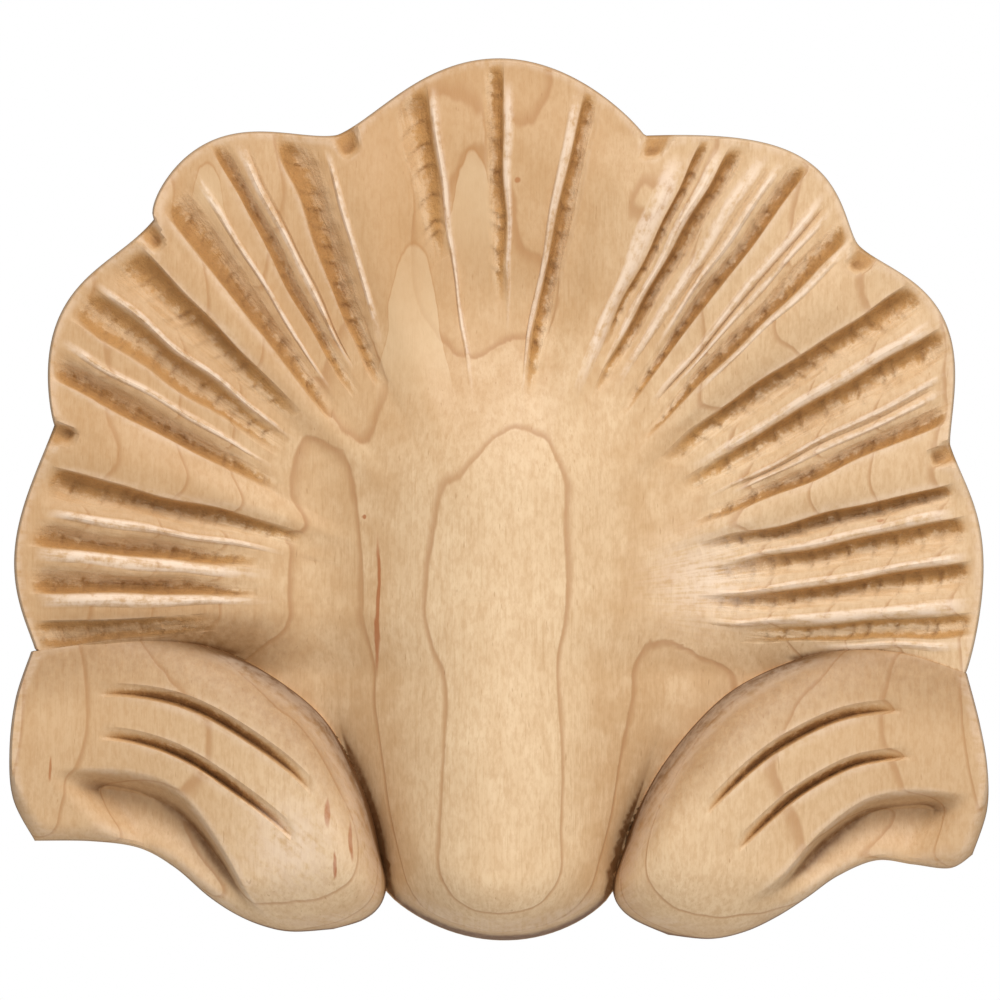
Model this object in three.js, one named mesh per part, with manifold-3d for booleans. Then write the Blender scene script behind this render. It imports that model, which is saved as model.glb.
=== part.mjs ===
// A carved wooden shell ornament: a scalloped shell of seven lobes with gouged channels, a smooth dome
// that runs down into a tongue, and a scroll at each side of the tongue, all cut from one board.
// Millimetres, +Z up, +X to the right. The flat back lies in the plane Y = 0 and the carving faces -Y.

import * as THREE from "three";
import Module from "manifold-3d";

// Driving dimensions
const shellRadius = 74; // from the point that the channels run to, out to the longest lobe's cusp
const centreHeight = -14.3; // that point's height
const sideWall = 8; // straight wall all around, from the back up to where the edge rounds over
const edgeRound = 0.6; // width of the rounding along the lobes
const tongueRound = 9.5; // width of the rounding at the tongue's end
const valleyDepth = 9; // thickness of the wood in the valley beside the dome
const crestDepth = 12.4; // thickness along the lobes' crest
const rimFall = 1.1; // how far the wood falls from the crest to the lobes' edge
const creaseDrop = 2; // how far it falls from the valley to the creases beside the scrolls
const creaseEndDepth = 11.8; // thickness in the creases where they fade out at the scrolls' outer ends
const domeDepth = 21.5; // thickness of the wood at the top of the dome
const headDrop = 0.24; // how much less the dome rises at its head, as a share of its rise
const domeHalfWidth = 27; // half the dome's width above the tongue
const tongueHalfWidth = 16.6; // half the tongue's width near its end
const ribHeight = 1.1; // how far the smooth ribs stand above the gouged fields
const notchDepth = 1.6; // depth of the gouge cut at each cusp
const notchReach = 4.2; // its length, in from the edge
const channelDepth = 2; // depth of the deepest channels
const scrollDepth = 18.6; // thickness of a scroll at its bulb
const scrollEndDepth = 12.5; // thickness of a scroll at its outer end
const scrollRound = 10.5; // width of the rounding along a scroll's inner edge
const scrollRimRound = 3.2; // width of the rounding along its lower edge
const bulbRound = 13; // width of the rounding around its bulb
const bossRound = 3; // width of the rounding at the outer end's lower corner
const grooveDepth = 1.9; // depth of the two cuts along each scroll
const grooveWidth = 1.7; // their width at the middle
const coveDepth = 4.4; // depth of the scoop along each scroll's lower edge

// Where the forms run, as shares of the shell radius from its centre: up, down, outwards or to either side
const dishRun = [0.3, 0.85]; // outwards from the valley to the lobes' crest
const ridgeRun = [-0.5, 0.35]; // upwards from the dome's highest place to its head
const headRun = [0.2, 0.62]; // upwards over the head's rounded end
const widening = [-0.57, -0.15]; // upwards from the tongue's width to the dome's
const creaseFall = [0.02, 0.15]; // downwards from the fan to the creases
const creaseRun = [0.5, 0.9]; // sideways along the creases as they fade out
const ribRun = [0.3, 0.6]; // outwards as the ribs grow out of the dome's foot
const flankFullness = { tongue: 0.62, dome: 1.7 }; // the lower, the boxier the section

// The lobes, counter-clockwise from the lower right. Each starts at a cusp, given by its angle in degrees
// and its reach; reach and bulge are shares of the shell radius. Lean moves the bulge along the lobe, and
// fullness, at its start and its end, is lower where it is rounder. The last three are the edges under the
// left scroll, around the tongue and under the right scroll.
const lobes = [
  { cusp: -9.2, reach: 0.911, bulge: 0.023, lean: 1.14, fullness: [0.68, 1.8] },
  { cusp: 19, reach: 0.921, bulge: 0.067, lean: 1.05, fullness: [1.24, 1.45] },
  { cusp: 44.7, reach: 0.976, bulge: 0.074, lean: 0.75, fullness: [1.87, 1.12] },
  { cusp: 72.7, reach: 0.941, bulge: 0.101, lean: 0.91, fullness: [1.02, 1.53] },
  { cusp: 109.3, reach: 0.953, bulge: 0.073, lean: 1.29, fullness: [1.23, 0.64] },
  { cusp: 132.3, reach: 0.995, bulge: 0.058, lean: 1.22, fullness: [1.5, 0.91] },
  { cusp: 158.6, reach: 0.926, bulge: 0.03, lean: 1.33, fullness: [1.16, 1.25] },
  { cusp: 186, reach: 0.905, bulge: -0.2, lean: 1, fullness: [1, 1] },
  { cusp: 249.2, reach: 0.608, bulge: 0.051, lean: 1.11, fullness: [0.74, 0.74] },
  { cusp: 290.6, reach: 0.608, bulge: -0.2, lean: 1, fullness: [1, 1] },
];
const [rightEdge, leftEdge, tongueLeft, tongueRight] = [lobes[0], lobes[7], lobes[8], lobes[9]];

// The gouged channels, counter-clockwise. Each lies between two angles near the edge (outer) and between two
// at half the radius (inner), and runs from one share of the radius to another. Depth is a share of the
// channel depth. Steep is 1 where the wall on the far side is the steep one, -1 for the near side.
const channels = [
  { outer: [-5.2, -2], inner: [-10.2, -6.6], run: [0.52, 0.97], depth: 0.5, steep: 0 },
  { outer: [0, 4.5], inner: [-4.6, 1.2], run: [0.41, 0.955], depth: 0.9, steep: 1 },
  { outer: [5.8, 10.2], inner: [2.6, 9.2], run: [0.43, 0.955], depth: 0.9, steep: 1 },
  { outer: [11.6, 14.6], inner: [10.6, 15.8], run: [0.43, 0.95], depth: 1, steep: 1 },
  { outer: [21.4, 24.6], inner: [20.4, 24.4], run: [0.43, 0.97], depth: 0.8, steep: -1 },
  { outer: [27.2, 32], inner: [26.8, 33.4], run: [0.41, 0.97], depth: 1, steep: 1 },
  { outer: [33.5, 38.3], inner: [35.4, 42], run: [0.42, 0.97], depth: 1, steep: 1 },
  { outer: [46, 49.3], inner: [47.2, 50.3], run: [0.42, 0.97], depth: 0.8, steep: -1 },
  { outer: [54.4, 57], inner: [55.6, 58.4], run: [0.42, 0.97], depth: 0.8, steep: -1 },
  { outer: [60.6, 63.4], inner: [62.4, 65.8], run: [0.45, 0.96], depth: 0.9, steep: 1 },
  { outer: [64.9, 66.6], inner: [66.6, 68.4], run: [0.55, 0.97], depth: 0.6, steep: 1 },
  { outer: [78.4, 80.9], inner: [79.2, 83.4], run: [0.39, 0.97], depth: 0.7, steep: 1 },
  { outer: [89.5, 92.2], inner: [88.8, 91.8], run: [0.55, 0.97], depth: 0.6, steep: -1 },
  { outer: [98.1, 103], inner: [98.4, 103.4], run: [0.66, 0.97], depth: 0.8, steep: -1 },
  { outer: [111.9, 116.6], inner: [116.2, 120.4], run: [0.46, 0.965], depth: 0.9, steep: 1 },
  { outer: [120.8, 123], inner: [123, 126.2], run: [0.46, 0.97], depth: 0.7, steep: 1 },
  { outer: [126.3, 131.2], inner: [129.2, 133.4], run: [0.48, 0.95], depth: 1, steep: 1 },
  { outer: [135.5, 141.4], inner: [136.6, 141.5], run: [0.53, 0.96], depth: 1, steep: -1 },
  { outer: [142.4, 146.9], inner: [142.6, 147.2], run: [0.5, 0.96], depth: 0.9, steep: 0 },
  { outer: [150.1, 153.9], inner: [149.9, 154.8], run: [0.49, 0.97], depth: 1, steep: 1 },
  { outer: [163.2, 168.3], inner: [161.2, 166.8], run: [0.43, 0.95], depth: 1, steep: -1 },
  { outer: [169.7, 173.4], inner: [168.3, 172.7], run: [0.5, 0.95], depth: 0.9, steep: 1 },
  { outer: [175.2, 179.2], inner: [175.4, 179], run: [0.5, 0.95], depth: 1, steep: 1 },
  { outer: [182.6, 186.2], inner: [182.8, 186], run: [0.6, 0.97], depth: 0.5, steep: 0 },
];
const outerShare = 0.9; // where the outer angles hold, as a share of the radius
const innerShare = 0.5; // where the inner angles hold
const fanCurve = 1.35; // the higher, the more the fan's lines bend near the dome
const bendBeyond = -0.2; // how far the bend goes on toward the edge, against its run toward the dome
const steepness = 1.8; // how far a channel's deepest line lies toward its steep wall
const channelHead = 0.09; // the inner end's rounding, as a share of the radius
const channelFade = 0.03; // half the outer end's fading
const channelGrowth = 0.3; // the share over which a channel reaches its full depth
const channelStart = 0.6; // its depth where it starts, as a share of that
const channelFloor = 2.3; // the higher, the flatter a channel's floor
const notches = [18, 43.3, 71.3, 108.5, 133.8, 159.5]; // the cusps' gouge cuts, by their angle
const notchHalfAngle = 1.7; // half a notch's width, in degrees
const notchFade = 0.6; // the share of its length at which a notch starts to run out
const ribHalfAngle = 3.4; // half a rib's width, in degrees

// The two scrolls. Each is a patch between four edges, given by points about the shell's centre as shares of
// its radius: the inner edge from the outer end along the crease, the lower edge, and the two ends. Grooves
// run between two places along and across the patch. The cove runs along it, and its edge moves across over
// the bend.
const scrolls = [
  {
    crease: [[-0.907, -0.1], [-0.79, -0.083], [-0.68, -0.073], [-0.57, -0.086], [-0.455, -0.139],
      [-0.348, -0.222], [-0.283, -0.325], [-0.246, -0.42], [-0.228, -0.51]],
    rim: [[-0.9, -0.466], [-0.79, -0.467], [-0.698, -0.48], [-0.629, -0.518], [-0.565, -0.573],
      [-0.51, -0.609], [-0.455, -0.632], [-0.4, -0.642], [-0.323, -0.637]],
    outerEnd: [[-0.907, -0.1], [-0.937, -0.19], [-0.949, -0.29], [-0.942, -0.385], [-0.9, -0.466]],
    bulbEnd: [[-0.228, -0.51], [-0.219, -0.55], [-0.232, -0.592], [-0.266, -0.62], [-0.323, -0.637]],
    grooves: [{ from: [0.17, 0.245], to: [0.663, 0.283] }, { from: [0.18, 0.437], to: [0.666, 0.505] }],
    cove: { from: 0.06, to: 0.74, edge: [0.597, 0.9], bend: [0.32, 0.72] },
  },
  {
    crease: [[0.903, -0.142], [0.79, -0.105], [0.68, -0.094], [0.58, -0.113], [0.47, -0.162],
      [0.395, -0.222], [0.318, -0.315], [0.265, -0.41], [0.234, -0.5]],
    rim: [[0.914, -0.493], [0.871, -0.519], [0.8, -0.512], [0.728, -0.504], [0.654, -0.534],
      [0.594, -0.576], [0.536, -0.613], [0.474, -0.642], [0.406, -0.656], [0.325, -0.648]],
    outerEnd: [[0.903, -0.142], [0.928, -0.238], [0.943, -0.325], [0.942, -0.408], [0.914, -0.493]],
    bulbEnd: [[0.234, -0.5], [0.219, -0.545], [0.225, -0.585], [0.258, -0.618], [0.325, -0.648]],
    grooves: [{ from: [0.18, 0.24], to: [0.686, 0.365] }, { from: [0.19, 0.455], to: [0.654, 0.61] }],
    cove: { from: 0.04, to: 0.74, edge: [0.62, 0.84], bend: [0.15, 0.65] },
  },
];

// How finely the faces are laid out
const headRings = [0.16, 0.34, 0.52, 0.7, 0.87]; // rings on the dome, as shares of the way to the channels
const channelRings = [0, 0.03, 0.09, 0.3, 0.55, 0.78, 0.9, 0.96]; // rings along a channel
const edgeRings = [1, 0.62, 0.3, 0.08, 0]; // rings over the rounded edge, as shares of its width
const acrossChannel = [0, 0.16, 0.5, 0.84, 1]; // lines across a channel, before it leans
const widestStep = 3.6; // the widest step between lines where there is no channel, in degrees
const scrollSteps = 24; // steps along a scroll
const endCrowding = 0.1; // how much closer together they lie at its ends
const creaseSteps = [0, 0.012, 0.05, 0.12]; // the first lines along a scroll, as shares across it
const coveSteps = [0, 0.07, 0.15, 0.23, 0.34, 0.6, 0.88, 1]; // the last ones, as shares across the scoop
const scrollWidth = 0.36 * shellRadius; // from the crease to the lower edge, about halfway along
const grooveHalf = 0.5 * grooveWidth / scrollWidth; // half a groove's width as a share of the way across
const grooveLean = 0.5; // how far its deepest line lies toward its lower lip
const coveWall = 0.3; // the share of the way across the scoop that its upper wall takes
const coveRim = 0.4; // how deep the scoop still is at the lower edge, as a share of its depth
const bossLean = 0.12; // how much farther in the scoop starts at the lower edge
const grooveTaper = 0.6; // the lower, the longer a groove keeps its full depth

// Where a scroll's forms run, as shares of its length from the outer end or of its width from the crease
const crownRun = [0.1, 0.85]; // along it, as it grows from the outer end's thickness to the bulb's
const crownFallRun = [0.35, 1]; // across it, as it falls toward the lower edge
const crownFall = 0.14; // how far it falls, as a share of its thickness
const creaseDeepening = [0.05, 0.45]; // along it, as the crease grows deep
const bulbRun = [0.5, 0.8]; // along it, as the lower edge's rounding widens to the bulb's
const bossRun = [0.55, 0.9]; // across it, as the outer end's rounding widens to the boss's
const coveStart = 0.12; // the length over which the scoop reaches its depth
const coveEnd = 0.3; // the length over which it runs out

const radians = Math.PI / 180;

function clamp(value, low, high) {
  return Math.min(Math.max(value, low), high);
}

function mix(a, b, share) {
  return a + (b - a) * share;
}

function smooth(low, high, value) {
  const share = clamp((value - low) / (high - low), 0, 1);
  return share * share * (3 - 2 * share);
}

// 0 at an edge and 1 from the given width on, as a quarter of an ellipse
function shoulder(distance, width) {
  const share = 1 - clamp(distance / width, 0, 1);
  return Math.sqrt(1 - share * share);
}

// The outline's distance from the shell's centre in a direction
function outlineRadius(angle) {
  const turn = (((angle - lobes[0].cusp) % 360) + 360) % 360;
  let index = lobes.length - 1;
  while (lobes[index].cusp - lobes[0].cusp > turn) index -= 1;
  const lobe = lobes[index];
  const next = lobes[(index + 1) % lobes.length];
  const start = lobe.cusp - lobes[0].cusp;
  const end = index + 1 < lobes.length ? next.cusp - lobes[0].cusp : 360;
  const share = (turn - start) / (end - start);
  const swell = Math.sin(Math.PI * share ** lobe.lean) ** mix(lobe.fullness[0], lobe.fullness[1], share);
  return shellRadius * (mix(lobe.reach, next.reach, share) + lobe.bulge * swell);
}

// The fan's lines bend between the channels' outer and inner angles. Below the shell they run straight.
const fanMargin = { right: 12, left: 14 }; // degrees that they bend past the fan's outer cusps
const fanStart = rightEdge.cusp - fanMargin.right;
const fanEnd = leftEdge.cusp + fanMargin.left;
const plainStart = 0.45; // where the outer rings start below the shell, as a share of the radius
const bends = [{ outer: fanStart, inner: fanStart, start: plainStart }];
for (const { outer, inner, run } of channels) {
  for (const side of [0, 1]) bends.push({ outer: outer[side], inner: inner[side], start: run[0] });
}
bends.push({ outer: fanEnd, inner: fanEnd, start: plainStart });

// A fan line, given by its outer angle, with the angle it has at half the radius and the share of the radius
// at which the channels start there
function fanLine(angle) {
  const outer = angle > fanStart + 360 ? angle - 360 : angle;
  const next = bends.findIndex((bend) => bend.outer > outer);
  if (next < 1) return { outer, inner: outer, start: plainStart };
  const [a, b] = [bends[next - 1], bends[next]];
  const share = (outer - a.outer) / (b.outer - a.outer);
  return { outer, inner: mix(a.inner, b.inner, share), start: mix(a.start, b.start, share) };
}

// The direction of a fan line at a share of the radius
function fanAngle({ outer, inner }, share) {
  const inwards = clamp((outerShare - share) / (outerShare - innerShare), bendBeyond, 1);
  return mix(outer, inner, Math.sign(inwards) * Math.abs(inwards) ** fanCurve);
}

// A share of the way across a channel, where 0.5 is its deepest line, and the place it has in the channel
function acrossPlace(steep, across) {
  if (steep === 0) return across;
  const leaning = across ** (1 / steepness);
  return steep > 0 ? leaning : 1 - leaning;
}

function channelCut(outer, share) {
  for (const channel of channels) {
    const [near, far] = channel.outer;
    const [start, end] = channel.run;
    if (outer <= near || outer >= far || share <= start || share >= end + channelFade) continue;
    const place = (outer - near) / (far - near);
    const fromGentle = channel.steep < 0 ? 1 - place : place;
    const across = channel.steep === 0 ? place : fromGentle ** steepness;
    const section = 1 - Math.abs(2 * across - 1) ** channelFloor;
    const along = shoulder(share - start, channelHead) * smooth(-channelFade, channelFade, end - share);
    const growth = mix(channelStart, 1, smooth(start, start + channelGrowth, share));
    return channelDepth * channel.depth * section * along * growth;
  }
  return 0;
}

function notchCut(angle, inFromEdge) {
  for (const centre of notches) {
    const across = Math.abs(angle - centre) / notchHalfAngle;
    const along = 1 - smooth(notchReach * notchFade, notchReach, inFromEdge);
    if (across < 1) return notchDepth * (1 - across ** 2) * along;
  }
  return 0;
}

function ribRise(outer, share) {
  let rise = 0;
  for (const centre of notches) {
    const across = clamp(Math.abs(outer - centre) / (2 * ribHalfAngle), 0, 1);
    rise = Math.max(rise, (1 - across * across) ** 2);
  }
  return ribHeight * rise * smooth(...ribRun, share);
}

// The width of the rounded edge in a direction
function roundWidth(angle) {
  const blend = 24; // degrees over which the rounding widens
  const afterLeft = smooth(tongueLeft.cusp - blend, tongueLeft.cusp, angle);
  const beforeRight = 1 - smooth(tongueRight.cusp, tongueRight.cusp + blend, angle);
  return mix(edgeRound, tongueRound, afterLeft * beforeRight);
}

// A smooth step over a run that is given in shares of the shell radius
function smoothRun([low, high], distance) {
  return smooth(low * shellRadius, high * shellRadius, distance);
}

// Thickness of the wood at a place about the shell's centre, before the cuts
function bodyDepth(x, z, share) {
  const dish = mix(valleyDepth, crestDepth, smooth(...dishRun, share)) - rimFall * smooth(dishRun[1], 1, share);
  const crease = mix(valleyDepth - creaseDrop, creaseEndDepth, smoothRun(creaseRun, Math.abs(x)));
  const field = mix(dish, crease, smoothRun(creaseFall, -z));
  const upperPart = smoothRun(widening, z);
  const halfWidth = mix(tongueHalfWidth, domeHalfWidth, upperPart);
  const fullness = mix(flankFullness.tongue, flankFullness.dome, upperPart);
  const flank = clamp(1 - (x / halfWidth) ** 2, 0, 1) ** fullness;
  const ridge = (1 - headDrop * smoothRun(ridgeRun, z)) * (1 - smoothRun(headRun, z));
  return field + (domeDepth - field) * flank * ridge;
}

// A point on the front of the shell, the dome and the tongue, on a fan line at a share of the radius
function bodyPoint(lineAngle, share) {
  const line = fanLine(lineAngle);
  const angle = fanAngle(line, share);
  const reach = outlineRadius(angle);
  const x = share * reach * Math.cos(angle * radians);
  const z = share * reach * Math.sin(angle * radians);
  const inFromEdge = (1 - share) * reach;
  const cut = channelCut(line.outer, share) + notchCut(angle, inFromEdge);
  const raw = bodyDepth(x, z, share) + ribRise(line.outer, share) - cut;
  const depth = sideWall + (raw - sideWall) * shoulder(inFromEdge, roundWidth(line.outer));
  return [x, -depth, centreHeight + z];
}

// A mesh under construction: points in millimetres and triangles that face outwards
function newSkin() {
  return { points: [], triangles: [] };
}

function addPoint(skin, [x, y, z]) {
  skin.points.push(x, y, z);
  return skin.points.length / 3 - 1;
}

// Joins two rows of points step by step. Each step's diagonal is the one nearer the surface's true middle,
// where the middles' depths are given.
function addStrip(skin, near, far, closed, middles) {
  const depth = (point) => skin.points[3 * point + 1];
  const count = closed ? near.length : near.length - 1;
  for (let i = 0; i < count; i += 1) {
    const j = (i + 1) % near.length;
    const [a, b, c, d] = [near[i], near[j], far[j], far[i]];
    const missAC = middles ? Math.abs(middles[i] - 0.5 * (depth(a) + depth(c))) : 0;
    const missBD = middles ? Math.abs(middles[i] - 0.5 * (depth(b) + depth(d))) : 1;
    if (missAC <= missBD) skin.triangles.push([a, c, d], [a, b, c]);
    else skin.triangles.push([a, b, d], [b, c, d]);
  }
}

// Lays a patch over a surface. The knots are rows of places on it, and the rows of points are given back.
function addPatch(skin, surface, knots, closed) {
  const rows = knots.map((row) => row.map(([u, v]) => addPoint(skin, surface(u, v))));
  for (let i = 1; i < rows.length; i += 1) {
    const middles = rows[i].map((_, j) => {
      const wraps = j + 1 === rows[i].length;
      const next = wraps ? 0 : j + 1;
      const turn = wraps && closed ? 360 : 0;
      const corners = [knots[i - 1][j], knots[i][j], knots[i - 1][next], knots[i][next]];
      const u = corners.reduce((sum, corner) => sum + corner[0], 2 * turn) / 4;
      const v = corners.reduce((sum, corner) => sum + corner[1], 0) / 4;
      return surface(u, v)[1];
    });
    addStrip(skin, rows[i - 1], rows[i], closed, middles);
  }
  return rows;
}

function makeSolid(wasm, skin) {
  const vertProperties = new Float32Array(skin.points);
  const triVerts = new Uint32Array(skin.triangles.flat());
  return new wasm.Manifold(new wasm.Mesh({ numProp: 3, vertProperties, triVerts }));
}

// Outer angles of the fan's lines: several across each channel and a few between them
function fanLines() {
  const angles = [];
  let last = fanStart;
  const fillTo = (target) => {
    const steps = Math.max(1, Math.ceil((target - last) / widestStep));
    for (let i = 1; i < steps; i += 1) angles.push(mix(last, target, i / steps));
  };
  for (const { outer, steep } of channels) {
    fillTo(outer[0]);
    const places = acrossChannel.map((across) => acrossPlace(steep, across)).sort((a, b) => a - b);
    for (const place of places) angles.push(mix(outer[0], outer[1], place));
    last = outer[1];
  }
  fillTo(fanStart + 360);
  return [...angles, fanStart + 360];
}

// The shares of the radius at which the rings cross a fan line
function ringShares(angle) {
  const { start } = fanLine(angle);
  const width = roundWidth(angle) / outlineRadius(angle);
  return [
    ...headRings.map((ring) => ring * mix(plainStart, start, ring ** 2)), // evenly round near the hub
    ...channelRings.map((ring) => mix(start, 1 - width, ring)),
    ...edgeRings.map((ring) => 1 - ring * width),
  ];
}

function buildBody(wasm) {
  const skin = newSkin();
  const angles = fanLines();
  const shares = angles.map(ringShares);
  const knots = shares[0].map((_, ring) => angles.map((angle, i) => [angle, shares[i][ring]]));
  const rows = addPatch(skin, bodyPoint, knots, true);
  const hub = addPoint(skin, bodyPoint(270, 0));
  addStrip(skin, rows[0].map(() => hub), rows[0], true);
  const rim = rows[rows.length - 1];
  const back = angles.map((angle) => {
    const [x, , z] = bodyPoint(angle, 1);
    return addPoint(skin, [x, 0, z]);
  });
  addStrip(skin, rim, back, true);
  const backHub = addPoint(skin, [0, 0, centreHeight]);
  addStrip(skin, back, back.map(() => backHub), true);
  const solidOnes = skin.triangles.filter(([a, b, c]) => a !== b && b !== c && c !== a);
  skin.triangles = solidOnes.map(([a, b, c]) => [a, c, b]);
  return makeSolid(wasm, skin);
}

function edgeCurve(points) {
  return new THREE.SplineCurve(points.map(([x, z]) => new THREE.Vector2(x * shellRadius, z * shellRadius)));
}

// The share across a scroll at which its scoop starts, at a share along it
function coveEdge({ cove }, along) {
  return mix(cove.edge[0], cove.edge[1], smooth(cove.bend[0], cove.bend[1], along));
}

function grooveCentre({ from, to }, along) {
  return mix(from[1], to[1], clamp((along - from[0]) / (to[0] - from[0]), 0, 1));
}

// A V with its deepest line toward the lower lip, deepest halfway along
function grooveCut(groove, along, across) {
  const share = clamp((along - groove.from[0]) / (groove.to[0] - groove.from[0]), 0, 1);
  const away = (across - grooveCentre(groove, along)) / grooveHalf - grooveLean;
  const wall = away < 0 ? 1 + away / (1 + grooveLean) : 1 - away / (1 - grooveLean);
  return grooveDepth * Math.max(0, wall) * Math.abs(Math.sin(Math.PI * share)) ** grooveTaper;
}

function coveCut(scroll, along, across) {
  const { from, to } = scroll.cove;
  const edge = coveEdge(scroll, along);
  const below = clamp((across - edge) / (1 - edge), 0, 1);
  const scoop = smooth(0, coveWall, below) * mix(1, coveRim, smooth(coveWall, 1, below));
  const begin = from + bossLean * below;
  const run = smooth(begin, begin + coveStart, along) * (1 - smooth(to - coveEnd, to, along));
  return coveDepth * scoop * run;
}

// A scroll's front: places along it from its outer end and across it from the crease, as shares
function scrollSurface(scroll) {
  const [crease, rim] = [edgeCurve(scroll.crease), edgeCurve(scroll.rim)];
  const [outerEnd, bulbEnd] = [edgeCurve(scroll.outerEnd), edgeCurve(scroll.bulbEnd)];
  const corners = [outerEnd.getPoint(0), bulbEnd.getPoint(0), outerEnd.getPoint(1), bulbEnd.getPoint(1)];
  const place = (along, across) => {
    const [top, bottom] = [crease.getPoint(along), rim.getPoint(along)];
    const [outer, inner] = [outerEnd.getPoint(across), bulbEnd.getPoint(across)];
    const cornerBlend = (axis) => {
      const upper = mix(corners[0][axis], corners[1][axis], along);
      const lower = mix(corners[2][axis], corners[3][axis], along);
      return mix(upper, lower, across);
    };
    const between = (axis) => mix(top[axis], bottom[axis], across) + mix(outer[axis], inner[axis], along);
    return new THREE.Vector2(between("x") - cornerBlend("x"), between("y") - cornerBlend("y"));
  };
  return (along, across) => {
    const here = place(along, across);
    const crown = mix(scrollEndDepth, scrollDepth, smooth(...crownRun, along));
    let raw = crown * (1 - crownFall * smooth(...crownFallRun, across)) - coveCut(scroll, along, across);
    for (const groove of scroll.grooves) raw -= grooveCut(groove, along, across);
    const low = mix(creaseEndDepth, sideWall, smooth(...creaseDeepening, along));
    raw = mix(low, raw, shoulder(here.distanceTo(place(along, 0)), scrollRound));
    const rimWidth = mix(scrollRimRound, bulbRound, smooth(...bulbRun, along));
    const endWidth = mix(edgeRound, bossRound, smooth(...bossRun, across));
    const round = shoulder(here.distanceTo(place(along, 1)), rimWidth)
      * shoulder(here.distanceTo(place(1, across)), bulbRound)
      * shoulder(here.distanceTo(place(0, across)), endWidth);
    return [here.x, -(sideWall + (raw - sideWall) * round), centreHeight + here.y];
  };
}

function buildScroll(wasm, scroll) {
  const skin = newSkin();
  const knots = Array.from({ length: scrollSteps + 1 }, (_, i) => {
    const even = i / scrollSteps;
    const along = even - endCrowding * Math.sin(2 * Math.PI * even) / Math.PI;
    const cuts = scroll.grooves.flatMap((groove) => {
      const centre = grooveCentre(groove, along);
      return [-1, grooveLean, 1].map((side) => centre + side * grooveHalf);
    });
    const edge = coveEdge(scroll, along);
    const across = [...creaseSteps, ...cuts.slice(0, 3), 0.5 * (cuts[2] + cuts[3]), ...cuts.slice(3),
      ...coveSteps.map((share) => mix(edge, 1, share))];
    return across.map((share) => [along, share]);
  });
  const rows = addPatch(skin, scrollSurface(scroll), knots, false);
  const last = rows[0].length - 1;
  const around = [
    ...rows[0],
    ...rows.slice(1).map((row) => row[last]),
    ...rows[rows.length - 1].slice(0, -1).reverse(),
    ...rows.slice(1, -1).map((row) => row[0]).reverse(),
  ];
  const outline = around.map((point) => new THREE.Vector2(skin.points[3 * point], skin.points[3 * point + 2]));
  const back = outline.map(({ x, y }) => addPoint(skin, [x, 0, y]));
  addStrip(skin, back, around, true);
  const leftward = THREE.ShapeUtils.area(outline) > 0;
  for (const [a, b, c] of THREE.ShapeUtils.triangulateShape(outline, [])) {
    skin.triangles.push(leftward ? [back[a], back[c], back[b]] : [back[a], back[b], back[c]]);
  }
  if (!leftward) skin.triangles = skin.triangles.map(([a, b, c]) => [a, c, b]);
  return makeSolid(wasm, skin);
}

function geometryOf(solid) {
  const { vertProperties, triVerts, numProp } = solid.getMesh();
  const positions = [];
  for (let i = 0; i < vertProperties.length; i += numProp) {
    positions.push(vertProperties[i], vertProperties[i + 1], vertProperties[i + 2]);
  }
  const geometry = new THREE.BufferGeometry();
  geometry.setAttribute("position", new THREE.Float32BufferAttribute(positions, 3));
  geometry.setIndex([...triVerts]);
  geometry.computeVertexNormals();
  return geometry;
}

const wasm = await Module();
wasm.setup();

const wood = new THREE.MeshStandardMaterial({ color: 0xd0ab82, roughness: 0.55, metalness: 0 });
let carving = buildBody(wasm);
for (const scroll of scrolls) carving = carving.add(buildScroll(wasm, scroll));

const ornament = new THREE.Mesh(geometryOf(carving), wood);
ornament.name = "shell_ornament";

const part = new THREE.Group();
part.add(ornament);

export default part;
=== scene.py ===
import math

import bpy
import numpy as np
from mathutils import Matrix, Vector
from mathutils.kdtree import KDTree


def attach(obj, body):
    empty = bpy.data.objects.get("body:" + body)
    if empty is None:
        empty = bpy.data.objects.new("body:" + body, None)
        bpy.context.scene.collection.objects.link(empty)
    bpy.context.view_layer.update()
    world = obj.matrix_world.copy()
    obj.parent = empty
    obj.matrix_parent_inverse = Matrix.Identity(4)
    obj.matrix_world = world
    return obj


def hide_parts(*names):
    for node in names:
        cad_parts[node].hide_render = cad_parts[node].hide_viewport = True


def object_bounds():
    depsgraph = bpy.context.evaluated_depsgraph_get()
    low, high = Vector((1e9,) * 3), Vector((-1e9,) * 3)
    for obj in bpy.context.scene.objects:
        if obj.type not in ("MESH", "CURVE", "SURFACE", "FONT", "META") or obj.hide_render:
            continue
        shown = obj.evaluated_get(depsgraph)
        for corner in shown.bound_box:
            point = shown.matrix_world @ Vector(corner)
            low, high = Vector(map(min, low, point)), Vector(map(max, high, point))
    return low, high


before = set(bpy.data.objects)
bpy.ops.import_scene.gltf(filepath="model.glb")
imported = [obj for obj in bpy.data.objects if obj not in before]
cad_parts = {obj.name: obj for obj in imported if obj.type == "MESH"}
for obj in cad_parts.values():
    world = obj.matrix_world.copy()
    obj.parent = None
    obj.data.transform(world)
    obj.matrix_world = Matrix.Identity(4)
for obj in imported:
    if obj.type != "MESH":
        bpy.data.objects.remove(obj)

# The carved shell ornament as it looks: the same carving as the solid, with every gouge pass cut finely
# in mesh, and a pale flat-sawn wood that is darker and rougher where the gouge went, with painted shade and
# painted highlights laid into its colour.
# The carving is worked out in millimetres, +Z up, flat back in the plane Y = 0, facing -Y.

cad_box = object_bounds()
MM = 0.001
SEED = 7

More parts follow.
